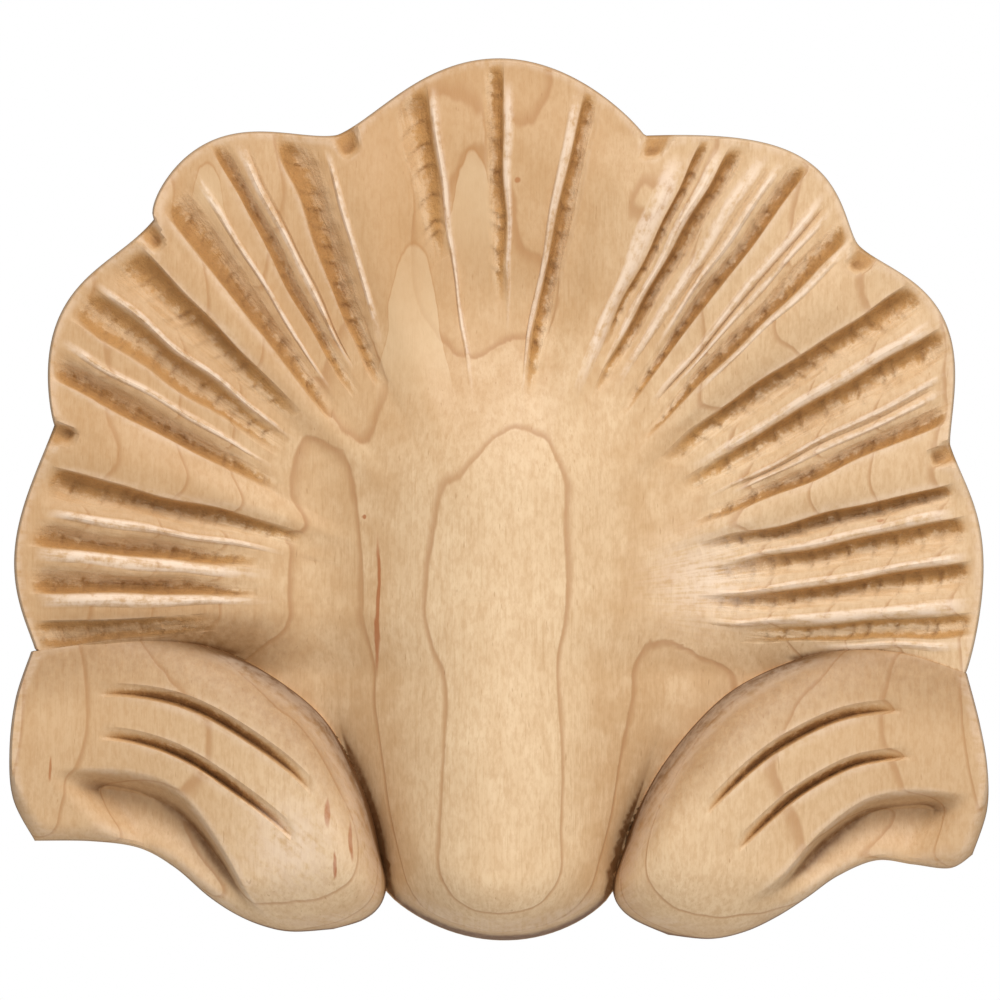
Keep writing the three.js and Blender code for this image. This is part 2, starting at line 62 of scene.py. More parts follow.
# Driving dimensions, as in the solid
SHELL_RADIUS = 74.0
CENTRE_HEIGHT = -14.3
SIDE_WALL = 8.0
EDGE_ROUND = 0.6
TONGUE_ROUND = 9.5
VALLEY_DEPTH = 9.0
CREST_DEPTH = 12.4
CREASE_DROP = 2.0
CREASE_END_DEPTH = 11.8
RIM_FALL = 1.1
DOME_DEPTH = 21.5
DOME_HALF_WIDTH = 27.0
TONGUE_HALF_WIDTH = 16.6
RIB_HEIGHT = 1.1
RIB_HALF_ANGLE = 3.4
NOTCH_DEPTH = 1.6
NOTCH_REACH = 4.2
NOTCH_HALF_ANGLE = 1.7
CHANNEL_DEPTH = 2.0
SCROLL_DEPTH = 18.6
SCROLL_END_DEPTH = 12.5
SCROLL_ROUND = 10.5
BOSS_ROUND = 3.0
SCROLL_RIM_ROUND = 3.2
BULB_ROUND = 13.0
GROOVE_DEPTH = 1.9
GROOVE_WIDTH = 1.7
COVE_DEPTH = 4.4
COVE_WALL = 0.3
COVE_RIM = 0.4
BOSS_LEAN = 0.12
OUTER_SHARE = 0.9
INNER_SHARE = 0.5
PLAIN_START = 0.45
TONGUE_SIDES = ((225, 249), (291, 315))  # angles over which the tongue's rounding grows and ends
FAN_MARGIN = (12, 14)  # degrees that the fan's lines bend past its right and left cusps

# How the forms run into each other, as in the solid, with runs in shares of the shell radius
DISH_RUN = (0.3, 0.85)  # outwards from the valley to the lobes' crest
RIDGE_RUN = (-0.5, 0.35)  # upwards from the dome's highest place to its head
HEAD_RUN = (0.2, 0.62)  # upwards over the head's rounded end
HEAD_DROP = 0.24  # how much less the dome rises at its head, as a share of its rise
WIDENING = (-0.57, -0.15)  # upwards from the tongue's width to the dome's
CREASE_FALL = (0.02, 0.15)  # downwards from the fan to the creases
CREASE_RUN = (0.5, 0.9)  # sideways along the creases as they fade out
RIB_RUN = (0.3, 0.6)  # outwards as the ribs grow out of the dome's foot
TONGUE_FULLNESS = 0.62  # the lower, the boxier the section
DOME_FULLNESS = 1.7
BEND_BEYOND = -0.2  # how far the bend of the fan's lines goes on toward the edge
FAN_CURVE = 1.35  # the higher, the more the fan's lines bend near the dome
STEEPNESS = 1.8  # how far a channel's deepest line lies toward its steep side
CHANNEL_HEAD = 0.09  # the inner end's rounding
CHANNEL_FADE = 0.03  # half the run over which a channel's outer end fades
CHANNEL_FLOOR = 2.3  # the higher, the flatter a channel's floor
NOTCH_FADE = 0.6  # the share of its length at which a notch starts to run out

# How a scroll's forms run into each other, as in the solid, with runs in shares along or across it
CROWN_RUN = (0.1, 0.85)  # along it, as it grows from the outer end's thickness to the bulb's
CROWN_FALL_RUN = (0.35, 1)  # across it, as it falls toward the lower edge
CROWN_FALL = 0.14  # how far it falls, as a share of its thickness
CREASE_DEEPENING = (0.05, 0.45)  # along it, as the crease grows deep
BULB_RUN = (0.5, 0.8)  # along it, as the lower edge's rounding widens to the bulb's
BOSS_RUN = (0.55, 0.9)  # across it, as the outer end's rounding widens to the boss's
COVE_START = 0.12  # the length over which the scoop reaches its depth
COVE_END = 0.3  # the length over which it runs out
GROOVE_TAPER = 0.6  # the lower, the longer a groove keeps its full depth

# What only shows close up
PASS_STEP = 0.3  # height of the step where one gouge pass overlaps the next
STEP_RANGE = (0.5, 1.2)  # the lowest and highest step, as shares of that
PASS_LENGTH = 3.2  # usual length of a pass
PASS_SHIFT = 0.32  # how far a pass may start from its even place, as a share of its length
PASS_BOW = 0.014  # how far the line between two passes bows, as a share of the shell radius
SEAM_WIDTH = 0.45  # line where one pass meets the next
CHANNEL_START = 0.3  # a channel's depth at its inner end, as a share of its full depth
CHANNEL_GROWTH = 0.26  # run over which it reaches its full depth, softer than in the solid
CHATTER = 0.11  # unevenness that the gouge leaves in a channel
CHATTER_LENGTH = 1.9
EDGE_WAVER = 0.22  # how far a channel's edge wanders
EDGE_WAVER_LENGTH = 6
WAVER_GROWTH = (0.3, 0.5)  # run outwards over which that wandering grows
WAVER_FADE = (0.9, 1)  # and over which it fades at the lobes' edge
NOTCH_WAVER = 0.5  # how far a notch wanders, in degrees
NOTCH_WAVER_LENGTH = 5
NOTCH_TAPER = (1.15, 0.55)  # a notch's width at the edge and at its inner end, as shares of its usual one
HAND_WAVER = 0.14  # how far the hand-cut surface wanders from the true one
HAND_LENGTH = 11
HAND_LENGTH_SCROLL = 13
HAND_GROWTH = (0.2, 0.5)  # run outwards from the smooth dome over which it grows
RIDGE_GROWTH = 0.12  # run over which a thin ridge rises
RIDGE_END = (-0.06, 0.01)  # run beside its outer end over which it fades
RIDGE_SWELL = 0.35  # how much its height varies along it
RIDGE_SWELL_LENGTH = 9
SCORE_GROWTH = 0.05  # run over which a thin cut deepens
SCORE_END = 0.03  # run over which it ends
SCORE_SHARPNESS = 1.2  # the higher, the narrower its bottom
EDGE_ARC = SHELL_RADIUS / 57  # about the millimetres that a degree takes along the lobes' edge

# Soft patches of painted highlight and painted shade: middle, spread in x and z, and strength
# painted highlight on the flutes' inner ends right of the dome
HIGHLIGHT_BESIDE_DOME = ((30, 3), (7, 6), 1)
# painted highlight on the crown of the left scroll's bulb
HIGHLIGHT_ON_BULB = ((-29.5, -35), (6, 6), 0.8)
# painted shade on the dome's head slope, which faces up
SHADE_ON_DOME_HEAD = ((-8, 28), (12, 8), 0.6)
# painted shade on the low band above the left scroll, where the fan falls to the crease
SHADE_ABOVE_CREASE = ((-47, -6), (17, 5), 1.3)

# What the wood shows in the gouged places of the fan
EVEN_SIDE = 0.35  # how shaded the middle of a channel is that has no steep side
FRESH_FROM = 0.4  # share of a channel's depth from which it is freshly gouged all over
PASS_SHADE = 0.6  # how much the tone changes along a pass
SCORE_SEAM = 0.7  # how dark a thin cut is
NOTCH_FRESH = 0.75  # how freshly gouged a notch is
NOTCH_FRESH_FROM = 1.3  # the depth from which it is
NOTCH_SIDE = (0.4, 0.9)  # how shaded a notch is at its lip and at its bottom

# What the wood shows on a scroll, and the shade painted on it, with runs in shares along or across it
GROOVE_FRESH = (0.1, 0.9)  # depths over which a groove grows freshly gouged
GROOVE_SHADE_LINE_RUN = (0.3, 0.8)  # shares of its depth over which its dark line of painted shade grows
CREASE_LINE_WIDTH = 1.5  # painted shade as a dark line in the crease
CREASE_LINE_GROWTH = (0.15, 0.4)  # along it, as that line grows
CREASE_LINE_END = (0.97, 1)  # and as it ends
# painted shade on the scoop's upper wall, which faces down
SCOOP_SHADE = 0.6
SCOOP_SHADE_GROWTH = (0, 0.1)  # down the scoop, as its painted shade grows
SCOOP_SHADE_END = (0.25, 0.6)  # and as it ends
SHADE_BESIDE_CREASE = (0.75, 1)  # painted shade beside the crease, at the outer end and at the bulb
SHADE_BESIDE_CREASE_RUN = (0.3, 0.7)  # along it, from the one to the other
SHADE_BESIDE_CREASE_END = (0.05, 0.4)  # across it, as that painted shade ends
SCROLL_FINISH_ALONG = (0.2, 0.85)  # along it, as the finish is rubbed off toward the bulb
SCROLL_FINISH_ACROSS = (0.05, 0.45)  # across it, as the darkening beside the crease, partly brown finish and partly painted shade, ends
# how dark the wood is beside the crease: partly brown finish, partly painted shade
CREASE_FINISH_AND_SHADE = 0.9
SCROLL_SPAN = (30, 70)  # about a scroll's width and length

# Where the brown finish has stayed on the fan, with runs in shares of the shell radius
FINISH_RUN = (0.42, 0.68)  # outwards
FINISH_RISE = (-0.25, 0.0)  # upwards
FINISH_SIDES = (-0.4, 0.5)  # rightwards, from the stronger left to the weaker right
FINISH_LEFT = 1.35
FINISH_RIGHT = 0.6

# The lobes, counter-clockwise from the lower right: cusp angle, reach, bulge, lean and fullness at both ends
LOBES = [
    (-9.2, 0.911, 0.023, 1.14, (0.68, 1.8)),
    (19.0, 0.921, 0.067, 1.05, (1.24, 1.45)),
    (44.7, 0.976, 0.074, 0.75, (1.87, 1.12)),
    (72.7, 0.941, 0.101, 0.91, (1.02, 1.53)),
    (109.3, 0.953, 0.073, 1.29, (1.23, 0.64)),
    (132.3, 0.995, 0.058, 1.22, (1.5, 0.91)),
    (158.6, 0.926, 0.03, 1.33, (1.16, 1.25)),
    (186.0, 0.905, -0.2, 1.0, (1.0, 1.0)),
    (249.2, 0.608, 0.051, 1.11, (0.74, 0.74)),
    (290.6, 0.608, -0.2, 1.0, (1.0, 1.0)),
]
NOTCHES = [18.0, 43.3, 71.3, 108.5, 133.8, 159.5]

# The gouged channels: outer angles, inner angles, run along the radius, depth share and steep side
CHANNELS = [
    ((-5.2, -2.0), (-10.2, -6.6), (0.52, 0.97), 0.5, 0),
    ((0.0, 4.5), (-4.6, 1.2), (0.41, 0.955), 0.9, 1),
    ((5.8, 10.2), (2.6, 9.2), (0.43, 0.955), 0.9, 1),
    ((11.6, 14.6), (10.6, 15.8), (0.43, 0.95), 1.0, 1),
    ((21.4, 24.6), (20.4, 24.4), (0.43, 0.97), 0.8, -1),
    ((27.2, 32.0), (26.8, 33.4), (0.41, 0.97), 1.0, 1),
    ((33.5, 38.3), (35.4, 42.0), (0.42, 0.97), 1.0, 1),
    ((46.0, 49.3), (47.2, 50.3), (0.42, 0.97), 0.8, -1),
    ((54.4, 57.0), (55.6, 58.4), (0.42, 0.97), 0.8, -1),
    ((60.6, 63.4), (62.4, 65.8), (0.45, 0.96), 0.9, 1),
    ((64.9, 66.6), (66.6, 68.4), (0.55, 0.97), 0.6, 1),
    ((78.4, 80.9), (79.2, 83.4), (0.39, 0.97), 0.7, 1),
    ((89.5, 92.2), (88.8, 91.8), (0.55, 0.97), 0.6, -1),
    ((98.1, 103.0), (98.4, 103.4), (0.66, 0.97), 0.8, -1),
    ((111.9, 116.6), (116.2, 120.4), (0.46, 0.965), 0.9, 1),
    ((120.8, 123.0), (123.0, 126.2), (0.46, 0.97), 0.7, 1),
    ((126.3, 131.2), (129.2, 133.4), (0.48, 0.95), 1.0, 1),
    ((135.5, 141.4), (136.6, 141.5), (0.53, 0.96), 1.0, -1),
    ((142.4, 146.9), (142.6, 147.2), (0.5, 0.96), 0.9, 0),
    ((150.1, 153.9), (149.9, 154.8), (0.49, 0.97), 1.0, 1),
    ((163.2, 168.3), (161.2, 166.8), (0.43, 0.95), 1.0, -1),
    ((169.7, 173.4), (168.3, 172.7), (0.5, 0.95), 0.9, 1),
    ((175.2, 179.2), (175.4, 179.0), (0.5, 0.95), 1.0, 1),
    ((182.6, 186.2), (182.8, 186.0), (0.6, 0.97), 0.5, 0),
]

# Thin pale ridges between the channels and thin dark cuts: outer angle, half width in degrees, run, and
# height or depth in millimetres
RIDGES = [
    (-6.1, 0.6, (0.66, 0.97), 0.35),
    (-1.0, 1.0, (0.42, 0.97), 0.5),
    (5.15, 0.6, (0.42, 0.96), 0.5),
    (10.9, 0.65, (0.45, 0.95), 0.45),
    (25.1, 0.5, (0.5, 0.97), 0.4),
    (26.75, 0.45, (0.45, 0.97), 0.5),
    (32.75, 0.7, (0.44, 0.97), 0.5),
    (45.5, 0.45, (0.55, 0.97), 0.35),
    (49.8, 0.4, (0.5, 0.97), 0.4),
    (51.3, 0.6, (0.46, 0.97), 0.5),
    (57.4, 0.45, (0.55, 0.97), 0.4),
    (59.5, 0.85, (0.46, 0.97), 0.5),
    (64.15, 0.65, (0.5, 0.97), 0.5),
    (68.2, 1.4, (0.45, 0.95), 0.4),
    (81.6, 0.6, (0.4, 0.97), 0.45),
    (88.9, 0.45, (0.5, 0.95), 0.3),
    (97.6, 0.5, (0.4, 0.97), 0.4),
    (111.5, 0.4, (0.55, 0.96), 0.35),
    (120.1, 0.5, (0.5, 0.97), 0.4),
    (125.8, 0.45, (0.5, 0.96), 0.4),
    (141.9, 0.5, (0.5, 0.97), 0.5),
    (149.55, 0.5, (0.5, 0.97), 0.4),
    (169.0, 0.65, (0.46, 0.94), 0.5),
    (174.3, 0.85, (0.48, 0.95), 0.4),
    (180.1, 0.8, (0.48, 0.95), 0.4),
]
SCORES = [
    (26.0, 0.35, (0.5, 0.96), 0.5),
    (50.5, 0.35, (0.46, 0.97), 0.5),
    (58.2, 0.4, (0.6, 0.97), 0.45),
    (119.45, 0.3, (0.5, 0.97), 0.4),
]

# The scrolls: crease edge, lower edge, outer end and bulb end as shares of the shell radius about its
# centre, grooves as (along, across) pairs, and the scoop's run, its edge and where that edge bends
SCROLLS = {
    "left": {
        "crease": [(-0.907, -0.1), (-0.79, -0.083), (-0.68, -0.073), (-0.57, -0.086), (-0.455, -0.139),
                   (-0.348, -0.222), (-0.283, -0.325), (-0.246, -0.42), (-0.228, -0.51)],
        "rim": [(-0.9, -0.466), (-0.79, -0.467), (-0.698, -0.48), (-0.629, -0.518), (-0.565, -0.573),
                (-0.51, -0.609), (-0.455, -0.632), (-0.4, -0.642), (-0.323, -0.637)],
        "outer_end": [(-0.907, -0.1), (-0.937, -0.19), (-0.949, -0.29), (-0.942, -0.385), (-0.9, -0.466)],
        "bulb_end": [(-0.228, -0.51), (-0.219, -0.55), (-0.232, -0.592), (-0.266, -0.62), (-0.323, -0.637)],
        "grooves": [((0.17, 0.245), (0.663, 0.283)), ((0.18, 0.437), (0.666, 0.505))],
        "cove": ((0.06, 0.74), (0.597, 0.9), (0.32, 0.72)),
    },
    "right": {
        "crease": [(0.903, -0.142), (0.79, -0.105), (0.68, -0.094), (0.58, -0.113), (0.47, -0.162),
                   (0.395, -0.222), (0.318, -0.315), (0.265, -0.41), (0.234, -0.5)],
        "rim": [(0.914, -0.493), (0.871, -0.519), (0.8, -0.512), (0.728, -0.504), (0.654, -0.534),
                (0.594, -0.576), (0.536, -0.613), (0.474, -0.642), (0.406, -0.656), (0.325, -0.648)],
        "outer_end": [(0.903, -0.142), (0.928, -0.238), (0.943, -0.325), (0.942, -0.408), (0.914, -0.493)],
        "bulb_end": [(0.234, -0.5), (0.219, -0.545), (0.225, -0.585), (0.258, -0.618), (0.325, -0.648)],
        "grooves": [((0.18, 0.24), (0.686, 0.365)), ((0.19, 0.455), (0.654, 0.61))],
        "cove": ((0.04, 0.74), (0.62, 0.84), (0.15, 0.65)),
    },
}
SCROLL_WIDTH = 0.36 * SHELL_RADIUS  # from the crease to the lower edge, about halfway along
GROOVE_SHARE = GROOVE_WIDTH / SCROLL_WIDTH
GROOVE_LEAN = 0.5  # how far a groove's deepest line lies toward its lower lip
GROOVE_SIDE = (0.75, 0.25)  # how much painted shade a groove's colour takes in its middle, and how much more toward its lower lip
GROOVE_SHADE_LINE = 2.4  # how dark the painted shade along its bottom is

# How finely the mesh is laid out
LINES_ACROSS_CHANNEL = 12
LINE_GAP = 0.34  # between lines on the shell, in degrees
HIDDEN_GAP = 1.5  # between lines below the shell
HEAD_RINGS = 15
CHANNEL_STEPS = (0, 0.006, 0.014, 0.026, 0.042)  # the first rings past a channel's inner end
EVEN_STEPS_FROM = 0.06
CHANNEL_RINGS = 70
EDGE_RINGS = 9
SCROLL_STEPS = 130  # along a scroll
END_CROWDING = 0.1  # how much closer together they lie at its ends
SCROLL_ROWS = (12, 3, 2, 2, 6, 3, 2, 2, 8, 20)  # across it, between its edges, grooves and scoop
SCROLL_CROWDING = (1.5, 1, 1, 1, 1, 1, 1, 1, 1, 1.25)
SHARP_ANGLE = 24  # in degrees, from which an edge of the mesh stays sharp
RECESS_WIDTHS = {"close_recess": 0.9, "wide_recess": 3.2}  # surroundings that each place is compared with
RECESS_CELL = 0.4
RECESS_BLUR = 0.8  # in cells, to close the gaps between the mesh's points


def mix(a, b, share):
    return a + (b - a) * share


def smooth(low, high, value):
    share = np.clip((value - low) / (high - low), 0, 1)
    return share * share * (3 - 2 * share)


def smooth_over(run, distance):
    """As smooth, over a run in shares of the shell radius, for a distance in millimetres."""
    return smooth(run[0] * SHELL_RADIUS, run[1] * SHELL_RADIUS, distance)


def shoulder(distance, width):
    """0 at an edge and 1 from the given width on, as a quarter of an ellipse."""
    share = 1 - np.clip(distance / width, 0, 1)
    return np.sqrt(1 - share * share)


def wander(seed, x, z, length):
    """Smooth random waves between about -1 and 1, the given length or longer."""
    chance = np.random.default_rng(SEED + seed)
    total = np.zeros(np.broadcast(x, z).shape)
    waves = 7
    for _ in range(waves):
        turn = chance.uniform(0, 2 * math.pi)
        rate = 2 * math.pi / (length * chance.uniform(1, 2.2))
        total += np.sin(rate * (x * math.cos(turn) + z * math.sin(turn)) + chance.uniform(0, 2 * math.pi))
    return total / math.sqrt(2 * waves)


def patch(x, z, place, flatness=2):
    """A soft patch with a middle, spreads and a strength. A higher flatness keeps it even along x."""
    (middle_x, middle_z), (spread_x, spread_z), strength = place
    away = ((x - middle_x) / spread_x) ** flatness + ((z - middle_z) / spread_z) ** 2
    return strength * np.exp(-away)


def outline_radius(angle):
    cusps = np.array([lobe[0] for lobe in LOBES] + [LOBES[0][0] + 360])
    reach = np.array([lobe[1] for lobe in LOBES] + [LOBES[0][1]])
    bulge, lean, fullness = (np.array([lobe[k] for lobe in LOBES]) for k in (2, 3, 4))
    full_start, full_end = fullness.T
    turn = (angle - cusps[0]) % 360 + cusps[0]
    which = np.clip(np.searchsorted(cusps, turn, side="right") - 1, 0, len(LOBES) - 1)
    share = (turn - cusps[which]) / (cusps[which + 1] - cusps[which])
    swell = np.abs(np.sin(math.pi * share ** lean[which])) ** mix(full_start[which], full_end[which], share)
    return SHELL_RADIUS * (mix(reach[which], reach[which + 1], share) + bulge[which] * swell)


FAN_START = LOBES[0][0] - FAN_MARGIN[0]
FAN_END = LOBES[7][0] + FAN_MARGIN[1]
BENDS = np.array(
    [(FAN_START, FAN_START, PLAIN_START)]
    + [(outer[side], inner[side], run[0]) for outer, inner, run, _, _ in CHANNELS for side in (0, 1)]
    + [(FAN_END, FAN_END, PLAIN_START)]
)


def fan_line(angle):
    """Outer angle, inner angle and channel start of the fan lines at these angles."""
    outer = np.where(angle > FAN_START + 360, angle - 360, angle)
    inside = outer < FAN_END
    inner = np.where(inside, np.interp(outer, BENDS[:, 0], BENDS[:, 1]), outer)
    start = np.where(inside, np.interp(outer, BENDS[:, 0], BENDS[:, 2]), PLAIN_START)
    return outer, inner, start


def fan_angle(outer, inner, share):
    inwards = np.clip((OUTER_SHARE - share) / (OUTER_SHARE - INNER_SHARE), BEND_BEYOND, 1)
    return mix(outer, inner, np.sign(inwards) * np.abs(inwards) ** FAN_CURVE)


def channels(outer, share):
    """The channels' depth, how freshly gouged each place is, each gouge pass's tone, and sides and seams."""
    cut, carved, tone, side, seam = (np.zeros_like(outer) for _ in range(5))
    for number, ((near, far), _, (start, end), depth, steep) in enumerate(CHANNELS):
        chance = np.random.default_rng(SEED + 100 + number)
        inside = (outer > near) & (outer < far) & (share > start) & (share < end + CHANNEL_FADE)
        run = share[inside]
        across = (outer[inside] - near) / (far - near)
        if steep < 0:
            across = 1 - across
        side[inside] = across if steep else mix(EVEN_SIDE, 1, np.abs(2 * across - 1))
        across = across ** (STEEPNESS if steep else 1)
        section = 1 - np.abs(2 * across - 1) ** CHANNEL_FLOOR
        along = shoulder(run - start, CHANNEL_HEAD) * smooth(-CHANNEL_FADE, CHANNEL_FADE, end - run)
        fade = mix(CHANNEL_START, 1, smooth(start, start + CHANNEL_GROWTH, run))
        body = section * along

        passes = max(3, round((end - start) * SHELL_RADIUS / PASS_LENGTH))
        places = (np.arange(1, passes) + chance.uniform(-PASS_SHIFT, PASS_SHIFT, passes - 1)) / passes
        stops = np.concatenate([[start], start + (end - start) * places, [end]])
        bent = run - PASS_BOW * (2 * across - 1) ** 2 * chance.choice([-1, 1])
        which = np.clip(np.searchsorted(stops, bent) - 1, 0, passes - 1)
        length = stops[which + 1] - stops[which]
        within = (bent - stops[which]) / length
        step = PASS_STEP * chance.uniform(*STEP_RANGE, passes)[which] * (within - 0.5)
        chatter = CHATTER * wander(600 + number, outer[inside] * EDGE_ARC, run * SHELL_RADIUS, CHATTER_LENGTH)
        marked = np.sqrt(np.clip(body, 0, 1)) * along
        cut[inside] = CHANNEL_DEPTH * depth * body * fade + (step + chatter) * marked
        carved[inside] = smooth(0, FRESH_FROM, body * fade)
        tone[inside] = chance.uniform(-1, 1, passes)[which] + PASS_SHADE * (within - 0.5)
        to_stop = np.minimum(within, 1 - within) * length * SHELL_RADIUS
        seam[inside] = np.clip(1 - to_stop / SEAM_WIDTH, 0, 1) * body
    return cut, carved, tone, side, seam


def ridges(outer, share, reach):
    """Height of the thin ridges, and how near each place is to a ridge's crest."""
    rise, crests = np.zeros_like(outer), np.zeros_like(outer)
    for number, (middle, half, (start, end), height) in enumerate(RIDGES):
        away = np.clip(np.abs(outer - middle) / half, 0, 1)
        fall = smooth(end + RIDGE_END[0], end + RIDGE_END[1], share)
        along = smooth(start, start + RIDGE_GROWTH, share) * (1 - fall)
        swell = 1 + RIDGE_SWELL * wander(300 + number, share * reach, 0 * share, RIDGE_SWELL_LENGTH)
        crest = (1 - away * away) * along
        rise += height * crest * swell
        crests = np.maximum(crests, np.sqrt(crest))
    return rise, crests


def scores(outer, share):
    """Depth of the thin cuts, and how near each place is to a cut's middle."""
    cut, lines = np.zeros_like(outer), np.zeros_like(outer)
    for middle, half, (start, end), depth in SCORES:
        away = np.clip(np.abs(outer - middle) / half, 0, 1)
        along = smooth(start, start + SCORE_GROWTH, share) * (1 - smooth(end - SCORE_END, end, share))
        cut += depth * (1 - away) ** SCORE_SHARPNESS * along
        lines = np.maximum(lines, (1 - away) * along)
    return cut, lines


def notch(angle, in_from_edge):
    cut = np.zeros_like(angle)
    for centre in NOTCHES:
        half = NOTCH_HALF_ANGLE * mix(*NOTCH_TAPER, np.clip(in_from_edge / NOTCH_REACH, 0, 1))
        across = np.clip(np.abs(angle - centre) / half, 0, 1)
        along = 1 - smooth(NOTCH_REACH * NOTCH_FADE, NOTCH_REACH, in_from_edge)
        cut = np.maximum(cut, NOTCH_DEPTH * (1 - across * across) * along)
    return cut


def rib_rise(outer, share):
    rise = np.zeros_like(outer)
    for centre in NOTCHES:
        across = np.clip(np.abs(outer - centre) / (2 * RIB_HALF_ANGLE), 0, 1)
        rise = np.maximum(rise, (1 - across * across) ** 2)
    return RIB_HEIGHT * rise * smooth(*RIB_RUN, share)


def round_width(angle):
    grows, ends = TONGUE_SIDES
    on_tongue = smooth(*grows, angle) * (1 - smooth(*ends, angle))
    return mix(EDGE_ROUND, TONGUE_ROUND, on_tongue)


def field_depth(x, z, share):
    """Thickness of the dished fan and of the creases below it, without the dome."""
    rim_fall = RIM_FALL * smooth(DISH_RUN[1], 1, share)
    dish = mix(VALLEY_DEPTH, CREST_DEPTH, smooth(*DISH_RUN, share)) - rim_fall
    crease = mix(VALLEY_DEPTH - CREASE_DROP, CREASE_END_DEPTH, smooth_over(CREASE_RUN, np.abs(x)))
    return mix(dish, crease, smooth_over(CREASE_FALL, -z))


def dome_rise(x, z):
    """How much of the dome's rise there is at each place, from 0 beside it to 1 at its highest."""
    upper = smooth_over(WIDENING, z)
    half_width = mix(TONGUE_HALF_WIDTH, DOME_HALF_WIDTH, upper)
    flank = np.clip(1 - (x / half_width) ** 2, 0, 1) ** mix(TONGUE_FULLNESS, DOME_FULLNESS, upper)
    ridge = (1 - HEAD_DROP * smooth_over(RIDGE_RUN, z)) * (1 - smooth_over(HEAD_RUN, z))
    return flank * ridge


def body_surface(angle, share):
    """Points on the front of the shell, the dome and the tongue, with what the wood needs to know."""
    outer, inner, _ = fan_line(angle)
    turn = fan_angle(outer, inner, share)
    reach = outline_radius(turn)
    waver = EDGE_WAVER * smooth(*WAVER_GROWTH, share) * (1 - smooth(*WAVER_FADE, share))
    waver = np.degrees(waver / (SHELL_RADIUS * np.maximum(share, WAVER_GROWTH[0])))
    turn = turn + waver * wander(3, outer * EDGE_ARC, share * reach, EDGE_WAVER_LENGTH)
    x = share * reach * np.cos(np.radians(turn))
    z = share * reach * np.sin(np.radians(turn))
    in_from_edge = (1 - share) * reach

    cut, carved, tone, side, seam = channels(outer, share)
    rise, crests = ridges(outer, share, reach)
    scored, lines = scores(outer, share)
    cut = cut - rise + scored
    nick = notch(turn + NOTCH_WAVER * wander(5, x, z, NOTCH_WAVER_LENGTH), in_from_edge)
    field = field_depth(x, z, share)
    raw = field + (DOME_DEPTH - field) * dome_rise(x, z) + rib_rise(outer, share) - cut - nick
    raw += HAND_WAVER * wander(1, x, z, HAND_LENGTH) * smooth(*HAND_GROWTH, share)
    depth = SIDE_WALL + (raw - SIDE_WALL) * shoulder(in_from_edge, round_width(outer))

    kept_finish = smooth(*FINISH_RUN, share) * smooth_over(FINISH_RISE, z)
    kept_finish = kept_finish * mix(FINISH_LEFT, FINISH_RIGHT, smooth_over(FINISH_SIDES, x))
    marks = {
        "carved": np.maximum(np.maximum(carved, lines), NOTCH_FRESH * smooth(0, NOTCH_FRESH_FROM, nick)),
        "tone": tone,
        "side": np.where(nick > cut, mix(*NOTCH_SIDE, nick / NOTCH_DEPTH), side),
        # pale ridge crests, partly wear and partly painted highlight, and the painted highlight beside the
        # dome
        "wear_and_highlight": np.maximum(crests, patch(x, z, HIGHLIGHT_BESIDE_DOME)),
        "seam": np.maximum(seam, SCORE_SEAM * lines),
        "crease_line_shade": np.zeros_like(x),
        # painted shade above the left scroll
        "painted_shade": patch(x, z, SHADE_ABOVE_CREASE, flatness=4),
        # the patch on the dome's head is painted shade, carried with the brown finish
        "finish": kept_finish + patch(x, z, SHADE_ON_DOME_HEAD),
        "across": np.radians(turn) * SHELL_RADIUS,
        "along": share * reach,
    }
    return np.stack([x, -depth, CENTRE_HEIGHT + z], -1), marks


def spline(points, share):
    """Uniform Catmull-Rom curve through points given as shares of the shell radius."""
    known = np.array(points) * SHELL_RADIUS
    place = np.asarray(share) * (len(known) - 1)
    start = np.clip(np.floor(place).astype(int), 0, len(known) - 2)
    t = (place - start)[..., None]
    before = np.where((start == 0)[..., None], known[start], known[np.maximum(start - 1, 0)])
    after = known[np.minimum(start + 2, len(known) - 1)]
    a, b = known[start], known[start + 1]
    slope_a, slope_b = 0.5 * (b - before), 0.5 * (after - a)
    return ((2 * a - 2 * b + slope_a + slope_b) * t**3
            + (-3 * a + 3 * b - 2 * slope_a - slope_b) * t**2 + slope_a * t + a)


def groove_middle(groove, along):
    (from_along, from_across), (to_along, to_across) = groove
    share = np.clip((along - from_along) / (to_along - from_along), 0, 1)
    return mix(from_across, to_across, share)


def cove_edge(scroll, along):
    _, (edge_from, edge_to), (bend_start, bend_end) = scroll["cove"]
    return mix(edge_from, edge_to, smooth(bend_start, bend_end, along))


def scroll_place(scroll, along, across):
    """Where places on a scroll lie, blended from its four edges."""
    along, across = np.broadcast_arrays(along, across)
    s, t = along[..., None], across[..., None]
    (outer_top, outer_low), (bulb_top, bulb_low) = (
        [spline(scroll[end], np.array(share)) for share in (0, 1)] for end in ("outer_end", "bulb_end"))
    edges = mix(spline(scroll["crease"], along), spline(scroll["rim"], along), t)
    edges = edges + mix(spline(scroll["outer_end"], across), spline(scroll["bulb_end"], across), s)
    return edges - mix(mix(outer_top, bulb_top, s), mix(outer_low, bulb_low, s), t)


def cove(scroll, along, across):
    """How far inside the scoop's run each place is, how far below its edge, and how deep the scoop is."""
    start, end = scroll["cove"][0]
    edge = cove_edge(scroll, along)
    below = np.clip((across - edge) / (1 - edge), 0, 1)
    begin = start + BOSS_LEAN * below
    inside = smooth(begin, begin + COVE_START, along) * (1 - smooth(end - COVE_END, end, along))
    scoop = smooth(0, COVE_WALL, below) * mix(1, COVE_RIM, smooth(COVE_WALL, 1, below))
    return inside, below, COVE_DEPTH * inside * scoop


